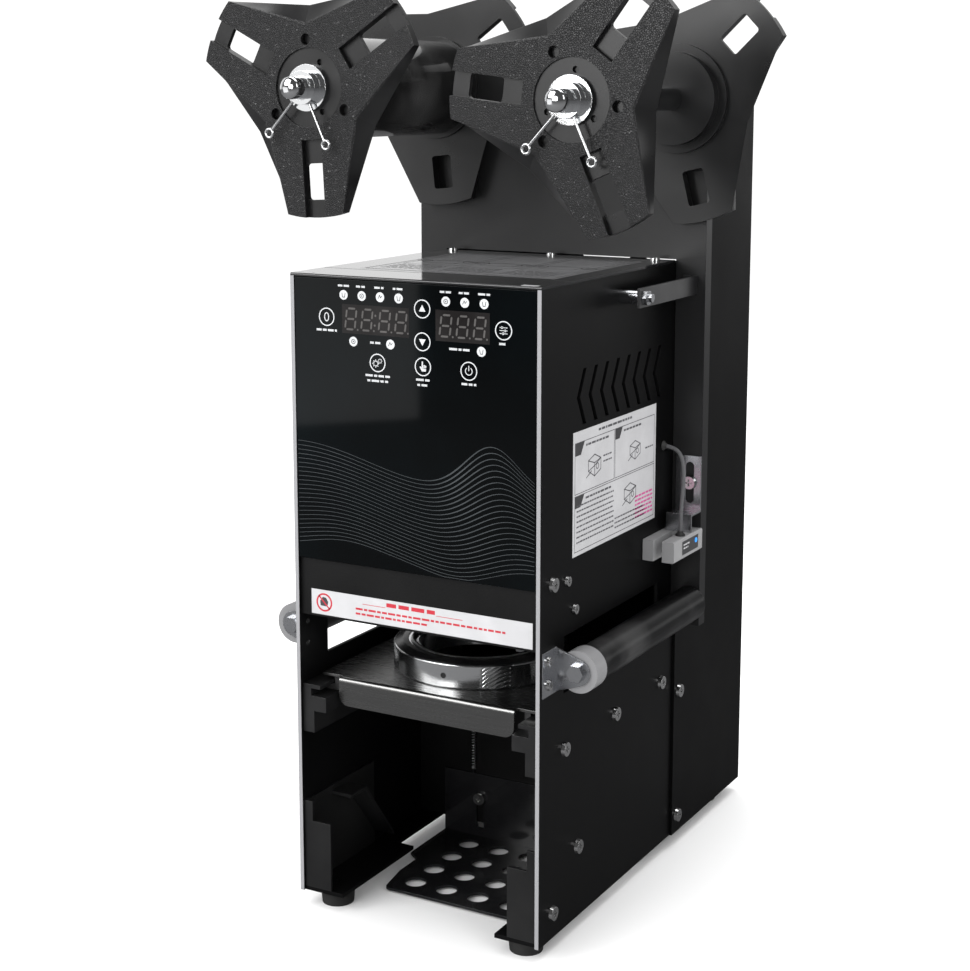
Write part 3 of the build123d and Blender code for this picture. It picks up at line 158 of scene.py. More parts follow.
def mix_colour(tree, share, first, second):
    """A colour that goes from the first to the second as the share goes from 0 to 1."""
    mix = tree.nodes.new("ShaderNodeMix")
    mix.data_type = "RGBA"
    tree.links.new(share, mix.inputs[0])
    for number, colour in ((6, first), (7, second)):
        if isinstance(colour, bpy.types.NodeSocket):
            tree.links.new(colour, mix.inputs[number])
        else:
            mix.inputs[number].default_value = (*colour, 1)
    return mix.outputs[2]


# Handling and dust: slow patches in the colour and sheen, and a fine grain for the bump.
handled, ends, result = new_group(
    "handled_surface",
    [
        ("Colour", "Color", (0.5, 0.5, 0.5, 1)),
        ("Dust Colour", "Color", (0.5, 0.5, 0.5, 1)),
        ("Dust", "Float", 0.1),
        ("Roughness", "Float", 0.4),
        ("Smudge", "Float", 0.1),
        ("Patch Scale", "Float", 14.0),
        ("Grain Scale", "Float", 900.0),
    ],
    [("Colour", "Color"), ("Roughness", "Float"), ("Height", "Float")],
)
where = node_in(handled, "TexCoord").outputs["Object"]
patches = node_in(
    handled, "TexNoise", {"Vector": where, "Scale": ends.outputs["Patch Scale"], "Detail": 6.0}
).outputs["Fac"]
grain = node_in(
    handled, "TexNoise", {"Vector": where, "Scale": ends.outputs["Grain Scale"], "Detail": 2.0}
).outputs["Fac"]
dusty = node_in(
    handled,
    "MapRange",
    {"Value": patches, "From Min": 0.42, "From Max": 0.72, "To Max": ends.outputs["Dust"]},
).outputs["Result"]
tinted = mix_colour(handled, dusty, ends.outputs["Colour"], ends.outputs["Dust Colour"])
centred = node_in(handled, "Math", {0: patches, 1: 0.5}, operation="SUBTRACT").outputs[0]
rougher = node_in(
    handled,
    "Math",
    {0: centred, 1: ends.outputs["Smudge"], 2: ends.outputs["Roughness"]},
    operation="MULTIPLY_ADD",
    use_clamp=True,
).outputs[0]
handled.links.new(tinted, result.inputs["Colour"])
handled.links.new(rougher, result.inputs["Roughness"])
handled.links.new(grain, result.inputs["Height"])


def place_group(finish, group, **values):
    """The group in a finish, with its inputs by name; colours are given as three numbers."""
    node = finish.node_tree.nodes.new("ShaderNodeGroup")
    node.node_tree = group
    for key, value in values.items():
        socket = node.inputs[key.replace("_", " ")]
        if isinstance(value, bpy.types.NodeSocket):
            finish.node_tree.links.new(value, socket)
        else:
            socket.default_value = (*value, 1) if socket.type == "RGBA" else value
    return node


def textured(name, colour, roughness, metallic=0.0, bump=0.02, soften=0.0004, handling=None, **sockets):
    """A finish with handled_surface on its colour, sheen and bump, and softened edges."""
    finish, shader = new_finish(name, colour, roughness, metallic, **sockets)
    tree = finish.node_tree
    surface = place_group(finish, handled, Colour=colour, Roughness=roughness, **(handling or {}))
    tree.links.new(surface.outputs["Colour"], shader.inputs["Base Color"])
    tree.links.new(surface.outputs["Roughness"], shader.inputs["Roughness"])
    rounded = node_in(tree, "Bevel", {"Radius": soften}, samples=4).outputs["Normal"]
    bumped = node_in(
        tree,
        "Bump",
        {"Height": surface.outputs["Height"], "Normal": rounded, "Strength": bump, "Distance": mm},
    )
    tree.links.new(bumped.outputs["Normal"], shader.inputs["Normal"])
    return finish, shader, surface, bumped


def paint(finish, *names):
    """Gives CAD nodes, by name, this finish all over."""
    for name in names:
        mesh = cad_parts[name].data
        mesh.materials.clear()
        mesh.materials.append(finish)


floor_white = (0.96, 0.96, 0.96)
floor_finish, floor_shader = new_finish("studio_floor", floor_white, 0.6, Specular_IOR_Level=0.0)
floor_surface = place_group(
    floor_finish, handled, Colour=floor_white, Dust_Colour=(0.94, 0.94, 0.95), Roughness=0.6
)
tree = floor_finish.node_tree
tree.links.new(floor_surface.outputs["Colour"], floor_shader.inputs["Base Color"])
# the gloss of the machine sees a dark table instead, as it would between black flags
dark_table = tree.nodes.new("ShaderNodeBsdfDiffuse")
dark_table.inputs["Color"].default_value = (0.12, 0.12, 0.122, 1)
either = tree.nodes.new("ShaderNodeMixShader")
tree.links.new(tree.nodes.new("ShaderNodeLightPath").outputs["Is Glossy Ray"], either.inputs[0])
tree.links.new(floor_shader.outputs["BSDF"], either.inputs[1])
tree.links.new(dark_table.outputs["BSDF"], either.inputs[2])
tree.links.new(either.outputs[0], tree.nodes["Material Output"].inputs["Surface"])
floor_mesh = bpy.data.meshes.new("studio_floor")
floor_size = 9.0
floor_mesh.from_pydata(
    [(x * floor_size, y * floor_size, 0) for x, y in ((-1, -1), (1, -1), (1, 1), (-1, 1))],
    [],
    [(0, 1, 2, 3)],
)
floor_mesh.materials.append(floor_finish)
floor = bpy.data.objects.new("studio_floor", floor_mesh)
scene.collection.objects.link(floor)

# ---------------------------------------------------------------- sensor cable
# A thin grey round cable of about 80 mm. It leaves a grommet in the right side plate and
# hangs in a short bend down to the top of the film sensor.
half = 100.0
front_y = -180.0
panel_y = 39.0
sensor_top = 269.0
cable_diameter = 3.0
cable_points = [
    (half, panel_y - 18.2, sensor_top + 65.2),
    (half + 12, panel_y - 18.2, sensor_top + 65.2),
    (half + 19.4, panel_y - 22, sensor_top + 53),
    (half + 21, panel_y - 27, sensor_top + 36),
    (half + 20.6, panel_y - 30, sensor_top + 18),
    (half + 20.6, panel_y - 30, sensor_top),
]
cable_finish, *_ = textured(
    "grey_cable_sheath", (0.09, 0.09, 0.095), 0.45, bump=0.1, handling={"Smudge": 0.2}
)
cable_curve = bpy.data.curves.new("sensor_cable_run", "CURVE")
cable_curve.dimensions = "3D"
cable_line = cable_curve.splines.new("NURBS")
cable_line.points.add(len(cable_points) - 1)
for point, (x, y, z) in zip(cable_line.points, cable_points):
    point.co = (x * mm, y * mm, z * mm, 1)
cable_line.order_u = 3
cable_line.use_endpoint_u = True
cable_curve.bevel_depth = cable_diameter / 2 * mm
cable_curve.bevel_resolution = 4
cable_curve.resolution_u = 16
cable_curve.materials.append(cable_finish)
cable = bpy.data.objects.new("sensor_cable_run", cable_curve)
scene.collection.objects.link(cable)
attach(cable, "frame")
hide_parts("sensor_cable")


def make_piece(name, points, faces, finish, body, smooth=40.0):
    """A mesh piece, its points in millimetres, that rides on a body of the machine."""
    mesh = bpy.data.meshes.new(name)
    mesh.from_pydata([(x * mm, y * mm, z * mm) for x, y, z in points], [], faces)
    mesh.validate()
    tidy = bmesh.new()
    tidy.from_mesh(mesh)
    bmesh.ops.recalc_face_normals(tidy, faces=tidy.faces)
    tidy.to_mesh(mesh)
    tidy.free()
    for face in mesh.polygons:
        face.use_smooth = True
    mesh.set_sharp_from_angle(angle=math.radians(smooth))
    mesh.materials.append(finish)
    piece = bpy.data.objects.new(name, mesh)
    scene.collection.objects.link(piece)
    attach(piece, body)
    return piece


def turned(profile, centre, axis, steps=48, closed=False):
    """Points and faces of a turned shape: (radius, distance along the axis) about a centre."""
    along = Vector(axis).normalized()
    across = along.orthogonal().normalized()
    up = along.cross(across)
    points, faces, rows = [], [], len(profile)
    for k in range(steps):
        turn = 2 * math.pi * k / steps
        ray = across * math.cos(turn) + up * math.sin(turn)
        for radius, distance in profile:
            points.append(tuple(Vector(centre) + ray * radius + along * distance))
    for k in range(steps):
        for r in range(rows if closed else rows - 1):
            a, b = k * rows, (k + 1) % steps * rows
            n = (r + 1) % rows
            faces.append((a + r, a + n, b + n, b + r))
    if not closed:
        faces.append(tuple(k * rows for k in range(steps)))
        faces.append(tuple((steps - 1 - k) * rows + rows - 1 for k in range(steps)))
    return points, faces


def joined(*parts):
    """Several lots of points and faces as one."""
    points, faces = [], []
    for some_points, some_faces in parts:
        start = len(points)
        points += some_points
        faces += [tuple(start + n for n in face) for face in some_faces]
    return points, faces


grommet_finish, *_ = textured("black_grommet", (0.012, 0.012, 0.012), 0.5)
grommet_ring = [(1.55, 0), (3.6, 0), (3.9, 0.5), (3.6, 1.3), (2.6, 2.0), (1.7, 3.6), (1.55, 3.6)]
make_piece(
    "cable_grommets",
    *joined(
        turned(grommet_ring, cable_points[0], (1, 0, 0), 32, closed=True),
        turned(grommet_ring, cable_points[-1], (0, 0, 1), 32, closed=True),
    ),
    grommet_finish,
    "frame",
)

# ---------------------------------------------------------------- side plates and column
# Folded steel in satin black powder coat. The plates' front edges carry a painted highlight,
# a light grey colour; the rear column is the same sheet in a duller coat.
beyond, ends, result = new_group(
    "beyond_a_plane",
    [("Direction", "Vector", (0.0, -1.0, 0.0)), ("Limit", "Float", 0.1), ("Fade", "Float", 0.0002)],
    [("Mask", "Float")],
)
where = node_in(beyond, "TexCoord").outputs["Object"]
reach = node_in(
    beyond, "VectorMath", {0: where, 1: ends.outputs["Direction"]}, operation="DOT_PRODUCT"
).outputs["Value"]
past = node_in(beyond, "Math", {0: reach, 1: ends.outputs["Limit"]}, operation="SUBTRACT").outputs[0]
share = node_in(
    beyond, "Math", {0: past, 1: ends.outputs["Fade"]}, operation="DIVIDE", use_clamp=True
).outputs[0]
beyond.links.new(share, result.inputs["Mask"])

black = (0.0032, 0.0032, 0.0034)
plate_finish, shader, surface, _ = textured(
    "satin_black_plate",
    black,
    0.36,
    Specular_IOR_Level=0.12,
    bump=0.10,
    handling={"Dust_Colour": (0.007, 0.007, 0.0075), "Dust": 0.35, "Smudge": 0.22, "Grain_Scale": 1500.0},
)
tree = plate_finish.node_tree
# painted highlight: the plates' front faces, past Y -179.8 mm, are coloured light grey
front_edge_highlight = place_group(plate_finish, beyond, Direction=(0, -1, 0), Limit=0.1798)
edge_highlight_colour = mix_colour(tree, front_edge_highlight.outputs["Mask"], surface.outputs["Colour"], (0.26, 0.26, 0.27))
tree.links.new(edge_highlight_colour, shader.inputs["Base Color"])
paint(plate_finish, "left_side_plate", "right_side_plate")

column_finish, *_ = textured(
    "dull_black_column",
    (0.003, 0.003, 0.0032),
    0.46,
    Specular_IOR_Level=0.12,
    bump=0.12,
    handling={"Dust_Colour": (0.006, 0.006, 0.0063), "Dust": 0.3, "Smudge": 0.2, "Grain_Scale": 1300.0},
)
paint(column_finish, "rear_column")
inner_finish, *_ = textured(
    "black_inner_sheet",
    (0.0045, 0.0045, 0.0047),
    0.4,
    bump=0.1,
    handling={"Dust_Colour": (0.010, 0.010, 0.0105), "Dust": 0.4, "Smudge": 0.2},
    Specular_IOR_Level=0.25,
)
paint(inner_finish, "bulkhead", "fascia", "lower_deck", "upper_deck")

# ---------------------------------------------------------------- reel panel
# The front sheet of the column, in a grey satin coat.
# It carries the reel bearings, the sensor bracket and the rear ends of both guide rollers.
panel_finish, shader, surface, _ = textured(
    "grey_satin_panel",
    (0.012, 0.012, 0.0125),
    0.36,
    bump=0.08,
    handling={"Dust_Colour": (0.020, 0.020, 0.021), "Dust": 0.4, "Smudge": 0.15, "Patch_Scale": 6.0},
    Specular_IOR_Level=0.4,
)
paint(panel_finish, "reel_panel")

# ---------------------------------------------------------------- top cover
# Gloss black folded sheet, held by small screws at the rear. A painted shadow line marks the
# seam that crosses it behind the front strip, and a silver sheet with threading drawings is
# stuck on behind the seam.
cover_finish, *_ = textured(
    "gloss_black_cover",
    (0.008, 0.008, 0.009),
    0.09,
    bump=0.015,
    handling={"Smudge": 0.08, "Dust_Colour": (0.02, 0.02, 0.02), "Dust": 0.2},
    Coat_Weight=0.5,
    Coat_Roughness=0.05,
)
paint(cover_finish, "top_cover")


def bar(left, right, low, high):
    """A filled rectangle in the plane of a print."""
    return [(left, low), (right, low), (right, high), (left, high)]


def disc(u, v, radius, steps=28):
    """A filled circle in the plane of a print."""
    turns = [2 * math.pi * k / steps for k in range(steps)]
    return [(u + radius * math.cos(t), v + radius * math.sin(t)) for t in turns]


def stroke(points, width):
    """A line of even width through the points, as one four-sided patch for each run."""
    patches = []
    for (u0, v0), (u1, v1) in zip(points, points[1:]):
        run = math.hypot(u1 - u0, v1 - v0) or 1.0
        du, dv = (u1 - u0) / run * width / 2, (v1 - v0) / run * width / 2
        u0, v0, u1, v1 = u0 - du, v0 - dv, u1 + du, v1 + dv
        patches.append([(u0 + dv, v0 - du), (u1 + dv, v1 - du), (u1 - dv, v1 + du), (u0 - dv, v0 + du)])
    return patches


def ring(u, v, radius, width, start=0.0, end=360.0, steps=40):
    """An arc or a whole ring of even width, as four-sided patches."""
    patches = []
    inner, outer = radius - width / 2, radius + width / 2
    for k in range(steps):
        a = math.radians(start + (end - start) * k / steps)
        b = math.radians(start + (end - start) * (k + 1) / steps)
        corners = ((inner, a), (outer, a), (outer, b), (inner, b))
        patches.append([(u + r * math.cos(t), v + r * math.sin(t)) for r, t in corners])
    return patches


def words(left, right, v, height, seed):
    """A row of short bars that stands for a line of small print."""
    dice = random.Random(seed)
    bars, u = [], left
    while u < right - height:
        end = min(right, u + height * dice.uniform(1.4, 4.2))
        bars.append(bar(u, end, v - height / 2, v + height / 2))
        u = end + height * 0.7
    return bars


def outline(left, right, low, high, width):
    """The four lines of a box."""
    return stroke([(left, low), (right, low), (right, high), (left, high), (left, low)], width)


def raised(plane, height):
    """The same plane, moved outward by a height."""
    origin, u_way, v_way, out = plane
    return tuple(a + b * height for a, b in zip(origin, out)), u_way, v_way, out


def print_on(name, patches, plane, finish, lift=0.05, body="frame"):
    """Thin flat shapes on a plane, given by its origin, its two directions and its outward one."""
    origin, u_way, v_way, out = (Vector(part) for part in plane)
    points, faces = [], []
    for patch in patches:
        start, count = len(points), len(patch)
        for depth in (0.0, lift):
            points += [tuple(origin + u_way * u + v_way * v + out * depth) for u, v in patch]
        faces.append(tuple(start + count + k for k in range(count)))
        for k in range(count):
            n = (k + 1) % count
            faces.append((start + k, start + n, start + count + n, start + count + k))
    return make_piece(name, points, faces, finish, body, smooth=20.0)


def ink(name, colour, roughness=0.35, **sockets):
    """A printed colour: flat, with a faint unevenness in its depth."""
    paler = tuple(min(1.0, part * 1.15 + 0.01) for part in colour)
    finish, *_ = textured(
        name, colour, roughness, bump=0.01, soften=0.00002,
        handling={"Dust_Colour": paler, "Dust": 0.6, "Smudge": 0.1, "Patch_Scale": 40.0}, **sockets
    )
    return finish


sticker_white = ink("sticker_white", (0.43, 0.43, 0.44), 0.35)
sticker_grey = ink("sticker_grey_ink", (0.07, 0.07, 0.075))
sticker_dark = ink("sticker_dark_ink", (0.04, 0.04, 0.042))
sticker_pink = ink("sticker_pink_ink", (0.50, 0.07, 0.24))
seam_black = ink("seam_shadow", (0.002, 0.002, 0.002), 0.8)
sheet_lift = 0.08

head_z = 474.0
cover_face = ((0, 0, head_z), (1, 0, 0), (0, 1, 0), (0, 0, 1))
cover_seam_y = front_y + 42
# painted shadow: a near-black band stands for the shade in the seam's gap
seam = bar(-99.4, 99.4, cover_seam_y - 0.5, cover_seam_y + 0.5)
print_on("cover_seam", [seam], cover_face, seam_black, 0.03)
sheet_low, sheet_high = cover_seam_y + 8, 12.0
cover_silver = ink("cover_sheet_silver", (0.16, 0.16, 0.165), 0.14, Specular_IOR_Level=0.6)
print_on("cover_sheet", [bar(-74, 84, sheet_low, sheet_high)], cover_face, cover_silver, sheet_lift)


def threading_sketch(u, v, size):
    """Line art of a machine head with two reels and the film between them."""
    pen = size * 0.04
    lines = outline(u - size, u + size, v - size * 0.9, v + size * 0.4, pen)
    lines += stroke([(u - size, v + size * 0.4), (u - size * 0.6, v + size * 0.7)], pen)
    lines += stroke([(u + size, v + size * 0.4), (u + size * 1.3, v + size * 0.7)], pen)
    lines += stroke([(u - size * 0.6, v + size * 0.7), (u + size * 1.3, v + size * 0.7)], pen)
    for side in (-1, 1):
        reel_u = u + side * size * 1.5
        for radius, steps in ((size * 0.42, 24), (size * 0.14, 16)):
            lines += ring(reel_u, v + size * 0.2, radius, size * 0.05, steps=steps)
        lines += stroke([(reel_u, v - size * 0.22), (u + side * size, v - size * 0.8)], pen)
    return lines


art = outline(-71, 81, sheet_low + 3, sheet_high - 3, 0.7)
for k, spot in enumerate((-44, 5, 54)):
    art += threading_sketch(spot, sheet_low + 72, 13)
    art += outline(spot - 22, spot + 22, sheet_low + 46, sheet_high - 8, 0.5)
    for row in range(5):
        art += words(spot - 21, spot + 20, sheet_low + 38 - 6 * row, 1.8, 10 * k + row)
print_on("cover_sheet_art", art, raised(cover_face, sheet_lift), seam_black, 0.04)
tabs = [bar(left, right, front_y + 3, front_y + 8) for left, right in ((83, 95), (-95, -84))]
print_on("cover_tabs", tabs, cover_face, sticker_white, 0.1)

# ---------------------------------------------------------------- front glass
# Black printed glass across the head. Its keys, number windows and flowing lines are inks
# on the glass, and the two number displays show through it, unlit.
glass_finish, shader, surface, _ = textured(
    "black_printed_glass",
    (0.0007, 0.0011, 0.0013),
    0.045,
    bump=0.0,
    soften=0.0003,
    handling={"Dust_Colour": (0.002, 0.004, 0.005), "Dust": 0.9, "Smudge": 0.03, "Patch_Scale": 5.0},
    Specular_IOR_Level=0.2,
)
paint(glass_finish, "front_glass")
glass_face = ((0, front_y, 0), (1, 0, 0), (0, 0, 1), (0, -1, 0))
key_white = ink("key_white_ink", (0.50, 0.51, 0.52), 0.25)
caption_white = ink("caption_ink", (0.44, 0.45, 0.46), 0.25)
segment_ink = ink("unlit_segments", (0.062, 0.058, 0.056), 0.3)
window_tint = ink("number_window_tint", (0.009, 0.008, 0.008), 0.12, Specular_IOR_Level=0.2)
line_ink = ink("flowing_line_ink", (0.040, 0.045, 0.048), 0.2, Specular_IOR_Level=0.2)

keys = {
    "count": (-69.4, 444.3), "up": (8.8, 454.4), "down": (8.8, 431.9), "set": (71.8, 443.6),
    "mode": (-27.5, 414.7), "press": (9.1, 414.7), "power": (45.2, 414.4),
}
signs = []
for u, v in keys.values():
    signs += ring(u, v, 6.1, 0.75)
u, v = keys["count"]
# the nought is an oval of patches that overlap a little
signs += [
    [
        (u + math.cos(t) * (1.7 + w), v + math.sin(t) * (2.9 + w))
        for t, w in ((a, -0.35), (a, 0.35), (a + 0.27, 0.35), (a + 0.27, -0.35))
    ]
    for a in (0.2618 * k for k in range(24))
]
for key, way in (("up", 1), ("down", -1)):
    u, v = keys[key]
    signs.append([(u - 2.6, v - 1.8 * way), (u + 2.6, v - 1.8 * way), (u, v + 2.8 * way)])
u, v = keys["set"]
for row, knob in ((2.0, -1.2), (0.0, 1.3), (-2.0, -0.3)):
    signs.append(bar(u - 3.0, u + 3.0, v + row - 0.22, v + row + 0.22))
    signs.append(disc(u + knob, v + row, 0.85, 16))


def gear(u, v, radius):
    """A small cog: a ring with eight teeth."""
    patches = ring(u, v, radius, radius * 0.35, steps=20)
    for k in range(8):
        t = k * math.pi / 4
        patches += stroke(
            [(u + r * math.cos(t), v + r * math.sin(t)) for r in (radius * 1.1, radius * 1.4)], radius * 0.4
        )
    return patches


u, v = keys["mode"]
signs += gear(u - 1.5, v - 0.5, 1.7) + gear(u + 2.0, v + 1.4, 1.15)
u, v = keys["press"]
signs += stroke([(u - 0.4, v + 3.2), (u - 0.4, v - 0.6)], 1.0)
for across, top in ((1.0, 0.9), (2.2, 0.5)):
    signs += stroke([(u + across, v + top), (u + across, v - 1.0)], 0.9)
palm = [(-2.6, -0.2), (-1.9, 0.3), (-0.6, -1.0), (2.7, -0.6), (2.3, -3.2), (-0.9, -3.2)]
signs.append([(u + across, v + up) for across, up in palm])
u, v = keys["power"]
signs += ring(u, v, 2.6, 0.6, 125, 415, 28) + stroke([(u, v + 3.4), (u, v + 0.4)], 0.6)
lamps_above = (-55, -40, -25, -10, 27.4, 42.1, 57)
lamps_below = (-47.3, -16.9, 54.9)
lamps = [(u, 460.5) for u in lamps_above] + [(u, 428.3) for u in lamps_below]
for u, v in lamps:
    signs.append(disc(u, v, 3.4))
print_on("glass_signs", signs, glass_face, key_white, 0.04)

marks = []
mark_pen = 0.45
cup_mark = [(-1.3, 1.2), (-0.8, -1.6), (0.8, -1.6), (1.3, 1.2)]
film_mark = [(-1.5, -1.0), (-0.4, 1.3), (0.4, -0.4), (1.5, 0.9)]
for k, (u, v) in enumerate(lamps):
    if k % 3 == 1:
        marks += ring(u, v, 1.5, mark_pen, steps=16) + [disc(u, v, 0.5, 10)]
    else:
        mark = film_mark if k % 3 else cup_mark
        marks += stroke([(u + across, v + up) for across, up in mark], mark_pen)
print_on("glass_lamp_marks", marks, raised(glass_face, 0.04), seam_black, 0.02)

captions = []
for k, (u, v) in enumerate(lamps[:7]):
    captions += words(u - 4.6, u + 4.6, v + 6.4, 1.4, 40 + k)
for left, right, v, seed in (
    (-78, -61, 435.0, 50), (-33.5, -24.5, 428.6, 51), (30, 48, 428.6, 52), (68.5, 75.5, 434.6, 53),
    (-37.5, -17.5, 405.6, 54), (-36, -19, 402.0, 55), (3.6, 14.4, 405.6, 56), (4.6, 13.6, 402.0, 57),
    (39.5, 51, 405.4, 58),
):
    captions += words(left, right, v, 1.5, seed)
print_on("glass_captions", captions, glass_face, caption_white, 0.04)

windows = [(-56.4, -1.8, 433.8, 454.2), (19.3, 61.3, 433.4, 454.6)]
print_on("number_windows", [bar(*sides) for sides in windows], glass_face, window_tint, 0.02)


def figure_eight(u, v, wide=8.0, high=14.6):
    """One seven-segment digit with every segment, leaning a little, and its point."""
    w, h, t = wide / 2, high / 2, 1.35 / 2
    shapes = []
    for level in (-h, 0, h):
        inner, outer = w - 1.6, w - 1
        shapes.append([(-outer, level), (-inner, level - t), (inner, level - t),
                       (outer, level), (inner, level + t), (-inner, level + t)])
    for side in (-w, w):
        for low in (-h, 0):
            a, b = low + 0.8, low + h - 0.8
            shapes.append([(side, a), (side + t, a + 0.7), (side + t, b - 0.7),
                           (side, b), (side - t, b - 0.7), (side - t, a + 0.7)])
    leaning = [[(u + across + up * 0.12, v + up) for across, up in shape] for shape in shapes]
    return leaning + [disc(u + w + 1.6, v - h, 0.7, 12)]


segments = [disc(-28.9, 447.4, 0.8, 12), disc(-29.5, 440.6, 0.8, 12)]
for u in (-49.2, -35.9, -21.6, -8.3, 27.2, 40.4, 53.6):
    segments += figure_eight(u, 444.0)
print_on("number_segments", segments, raised(glass_face, 0.02), segment_ink, 0.02)

# the flowing lines: each falls from the left into a valley and swells over a crest that
# flattens from line to line; a line is widest where it climbs


def swelling_line(share):
    """The centre line of one flowing line, and its width at each point; share 0 is the top one."""
    run, widths = [], []
    for step in range(121):
        t = step / 120
        fall = -20 * (1 - share) ** 0.8 * (1 - math.cos(math.pi * min(1.0, t / 0.62))) / 2
        crest = (30 - 24 * share) * math.exp(-(((t - 0.83 - 0.10 * share) / (0.15 + 0.05 * share)) ** 2))
        knoll = 9 * share * math.exp(-(((t - 0.2) / 0.22) ** 2))
        dip = -9 * share * math.exp(-(((t - 0.72) / 0.2) ** 2))
        v = 354 - 78 * share + fall + crest + knoll + dip
        climb = math.exp(-(((t - 0.70 - 0.10 * share) / 0.10) ** 2))
        if 269.2 < v < 372:
            run.append((-95.5 + 191 * t, v))
            widths.append(0.34 + 1.0 * climb * (1 - share))
    return run, widths


flow = []
for k in range(24):
    run, widths = swelling_line(k / 23)
    for spot in range(len(run) - 1):
        (u0, v0), (u1, v1) = run[spot], run[spot + 1]
        low, high = widths[spot] / 2, widths[spot + 1] / 2
        flow.append([(u0, v0 - low), (u1, v1 - high), (u1, v1 + high), (u0, v0 + low)])
print_on("glass_flowing_lines", flow, glass_face, line_ink, 0.02)

# ---------------------------------------------------------------- notice on the fascia
# A white gloss strip stuck below the glass, with a red ring sign at its left end and rows
# of red bars in place of words.
notice_red = ink("notice_red_ink", (0.42, 0.015, 0.03), 0.35)
fascia_y = front_y + 3
notice_face = ((0, fascia_y, 0), (1, 0, 0), (0, 0, 1), (0, -1, 0))
print_on("notice_strip", [bar(-88, 93, 226.6, 245.0)], notice_face, sticker_white, sheet_lift)
notice = ring(-77, 235.8, 6.2, 1.3)
notice += stroke([(-81.3, 240.1), (-72.7, 231.5)], 1.1)
notice += words(-24, 16, 241.3, 2.9, 61)
notice += stroke([(-44, 239.2), (-25, 239.2)], 0.4) + stroke([(17, 239.2), (38, 239.2)], 0.4)
notice += words(-50, 72, 235.2, 1.5, 62) + words(-50, 10, 231.6, 1.5, 63)
print_on("notice_red_print", notice, raised(notice_face, sheet_lift), notice_red, 0.03)
palm = [(-80.2, 233.2), (-74.4, 233.0), (-73.6, 236.6), (-75.4, 239.4), (-78.2, 239.8), (-80.6, 236.6)]
print_on("notice_dark_print", [palm], raised(notice_face, 0.06), sticker_dark, 0.03)

# ---------------------------------------------------------------- threading sheet on the side
# A white matt sticker on the right side plate, below the vents, with line drawings of how
# the film goes through the machine, boxes round them and rows of small print.
side_face = ((half, 0, 0), (0, 1, 0), (0, 0, 1), (1, 0, 0))
on_sheet = raised(side_face, sheet_lift)
print_on("side_sheet", [bar(-132, 7, 281, 369)], side_face, sticker_white, sheet_lift)


def head_sketch(u, v, size):
    """Line art of the machine's head seen from a corner, with its film drawer out."""
    pen = size * 0.075
    runs = [
        [(-1, -0.3), (-1, 0.45), (0, 0.75), (1, 0.35), (1, -0.45), (0, -0.8), (-1, -0.3)],
        [(-1, -0.3), (0, -0.05), (0, -0.8)],
        [(0, -0.05), (1, 0.35)],
        [(-1, 0.45), (0, 0.15), (0, -0.05)],
        [(0, 0.15), (1, 0.35)],
        [(-1.3, -0.7), (-0.5, -0.35)],
    ]
    lines = ring(u + size * 0.45, v - size * 0.15, size * 0.2, pen, steps=18)
    for run in runs:
        lines += stroke([(u + size * across, v + size * up) for across, up in run], pen)
    return lines


drawn = outline(-129, -66, 325, 361, 0.5) + outline(-64.5, 4, 325, 361, 0.5)
drawn += outline(-129, 4, 284, 323.5, 0.5)
drawn += words(-92, -34, 365.2, 1.7, 71) + words(-112, -75, 357.6, 1.5, 72) + words(-50, -20, 357.6, 1.5, 73)
drawn += words(-112, -70, 320, 1.5, 74)
drawn += head_sketch(-98, 341, 10) + head_sketch(-30, 340, 9) + head_sketch(-38, 309, 10)
drawn += words(-84, -69, 345, 1.1, 75) + words(-84, -70, 341, 1.1, 76) + words(-12, 2, 338, 1.1, 77)
for row in range(8):
    drawn += words(-126, -66, 316.2 - 3.7 * row, 1.1, 80 + row)
for row in range(3):
    drawn += words(-64, -12, 295 - 3.4 * row, 1.1, 90 + row)
print_on("side_sheet_print", drawn, on_sheet, sticker_grey, 0.03)
corners = [
    [(-129, 361), (-114, 361), (-120, 352), (-129, 352)],
    [(-64.5, 361), (-52, 361), (-57, 353), (-64.5, 353)],
    [(-129, 323.5), (-114, 323.5), (-120, 315), (-129, 315)],
]
print_on("side_sheet_corners", corners, raised(side_face, 0.06), sticker_dark, 0.03)
rose = []
for row in range(6):
    rose += words(-29, 2, 304 - 3.1 * row, 1.5, 95 + row)
print_on("side_sheet_pink_print", rose, on_sheet, sticker_pink, 0.03)

# ---------------------------------------------------------------- drawer table
# Stainless sheet with a turned-down front lip, brushed across the machine. It slides out
# with the cup ring on it, on black nylon runners in two black rails.
brushed, ends, result = new_group(
    "brushed_metal",
    [
        ("Colour", "Color", (0.7, 0.7, 0.7, 1)),
        ("Roughness", "Float", 0.25),
        ("Streaks", "Float", 0.15),
        ("Stretch", "Vector", (20.0, 900.0, 900.0)),
    ],
    [("Colour", "Color"), ("Roughness", "Float"), ("Height", "Float")],
)
where = node_in(brushed, "TexCoord").outputs["Object"]
drawn_out = node_in(
    brushed, "VectorMath", {0: where, 1: ends.outputs["Stretch"]}, operation="MULTIPLY"
).outputs["Vector"]
streaks = node_in(brushed, "TexNoise", {"Vector": drawn_out, "Scale": 1.0, "Detail": 3.0}).outputs["Fac"]
centred = node_in(brushed, "Math", {0: streaks, 1: 0.5}, operation="SUBTRACT").outputs[0]
rougher = node_in(
    brushed,
    "Math",
    {0: centred, 1: ends.outputs["Streaks"], 2: ends.outputs["Roughness"]},
    operation="MULTIPLY_ADD",
    use_clamp=True,
).outputs[0]
paler = node_in(
    brushed, "Math", {0: centred, 1: ends.outputs["Streaks"], 2: 1.0}, operation="MULTIPLY_ADD"
).outputs[0]
streaked = node_in(
    brushed, "VectorMath", {0: ends.outputs["Colour"], 3: paler}, operation="SCALE"
).outputs["Vector"]
brushed.links.new(streaked, result.inputs["Colour"])
brushed.links.new(rougher, result.inputs["Roughness"])
brushed.links.new(streaks, result.inputs["Height"])


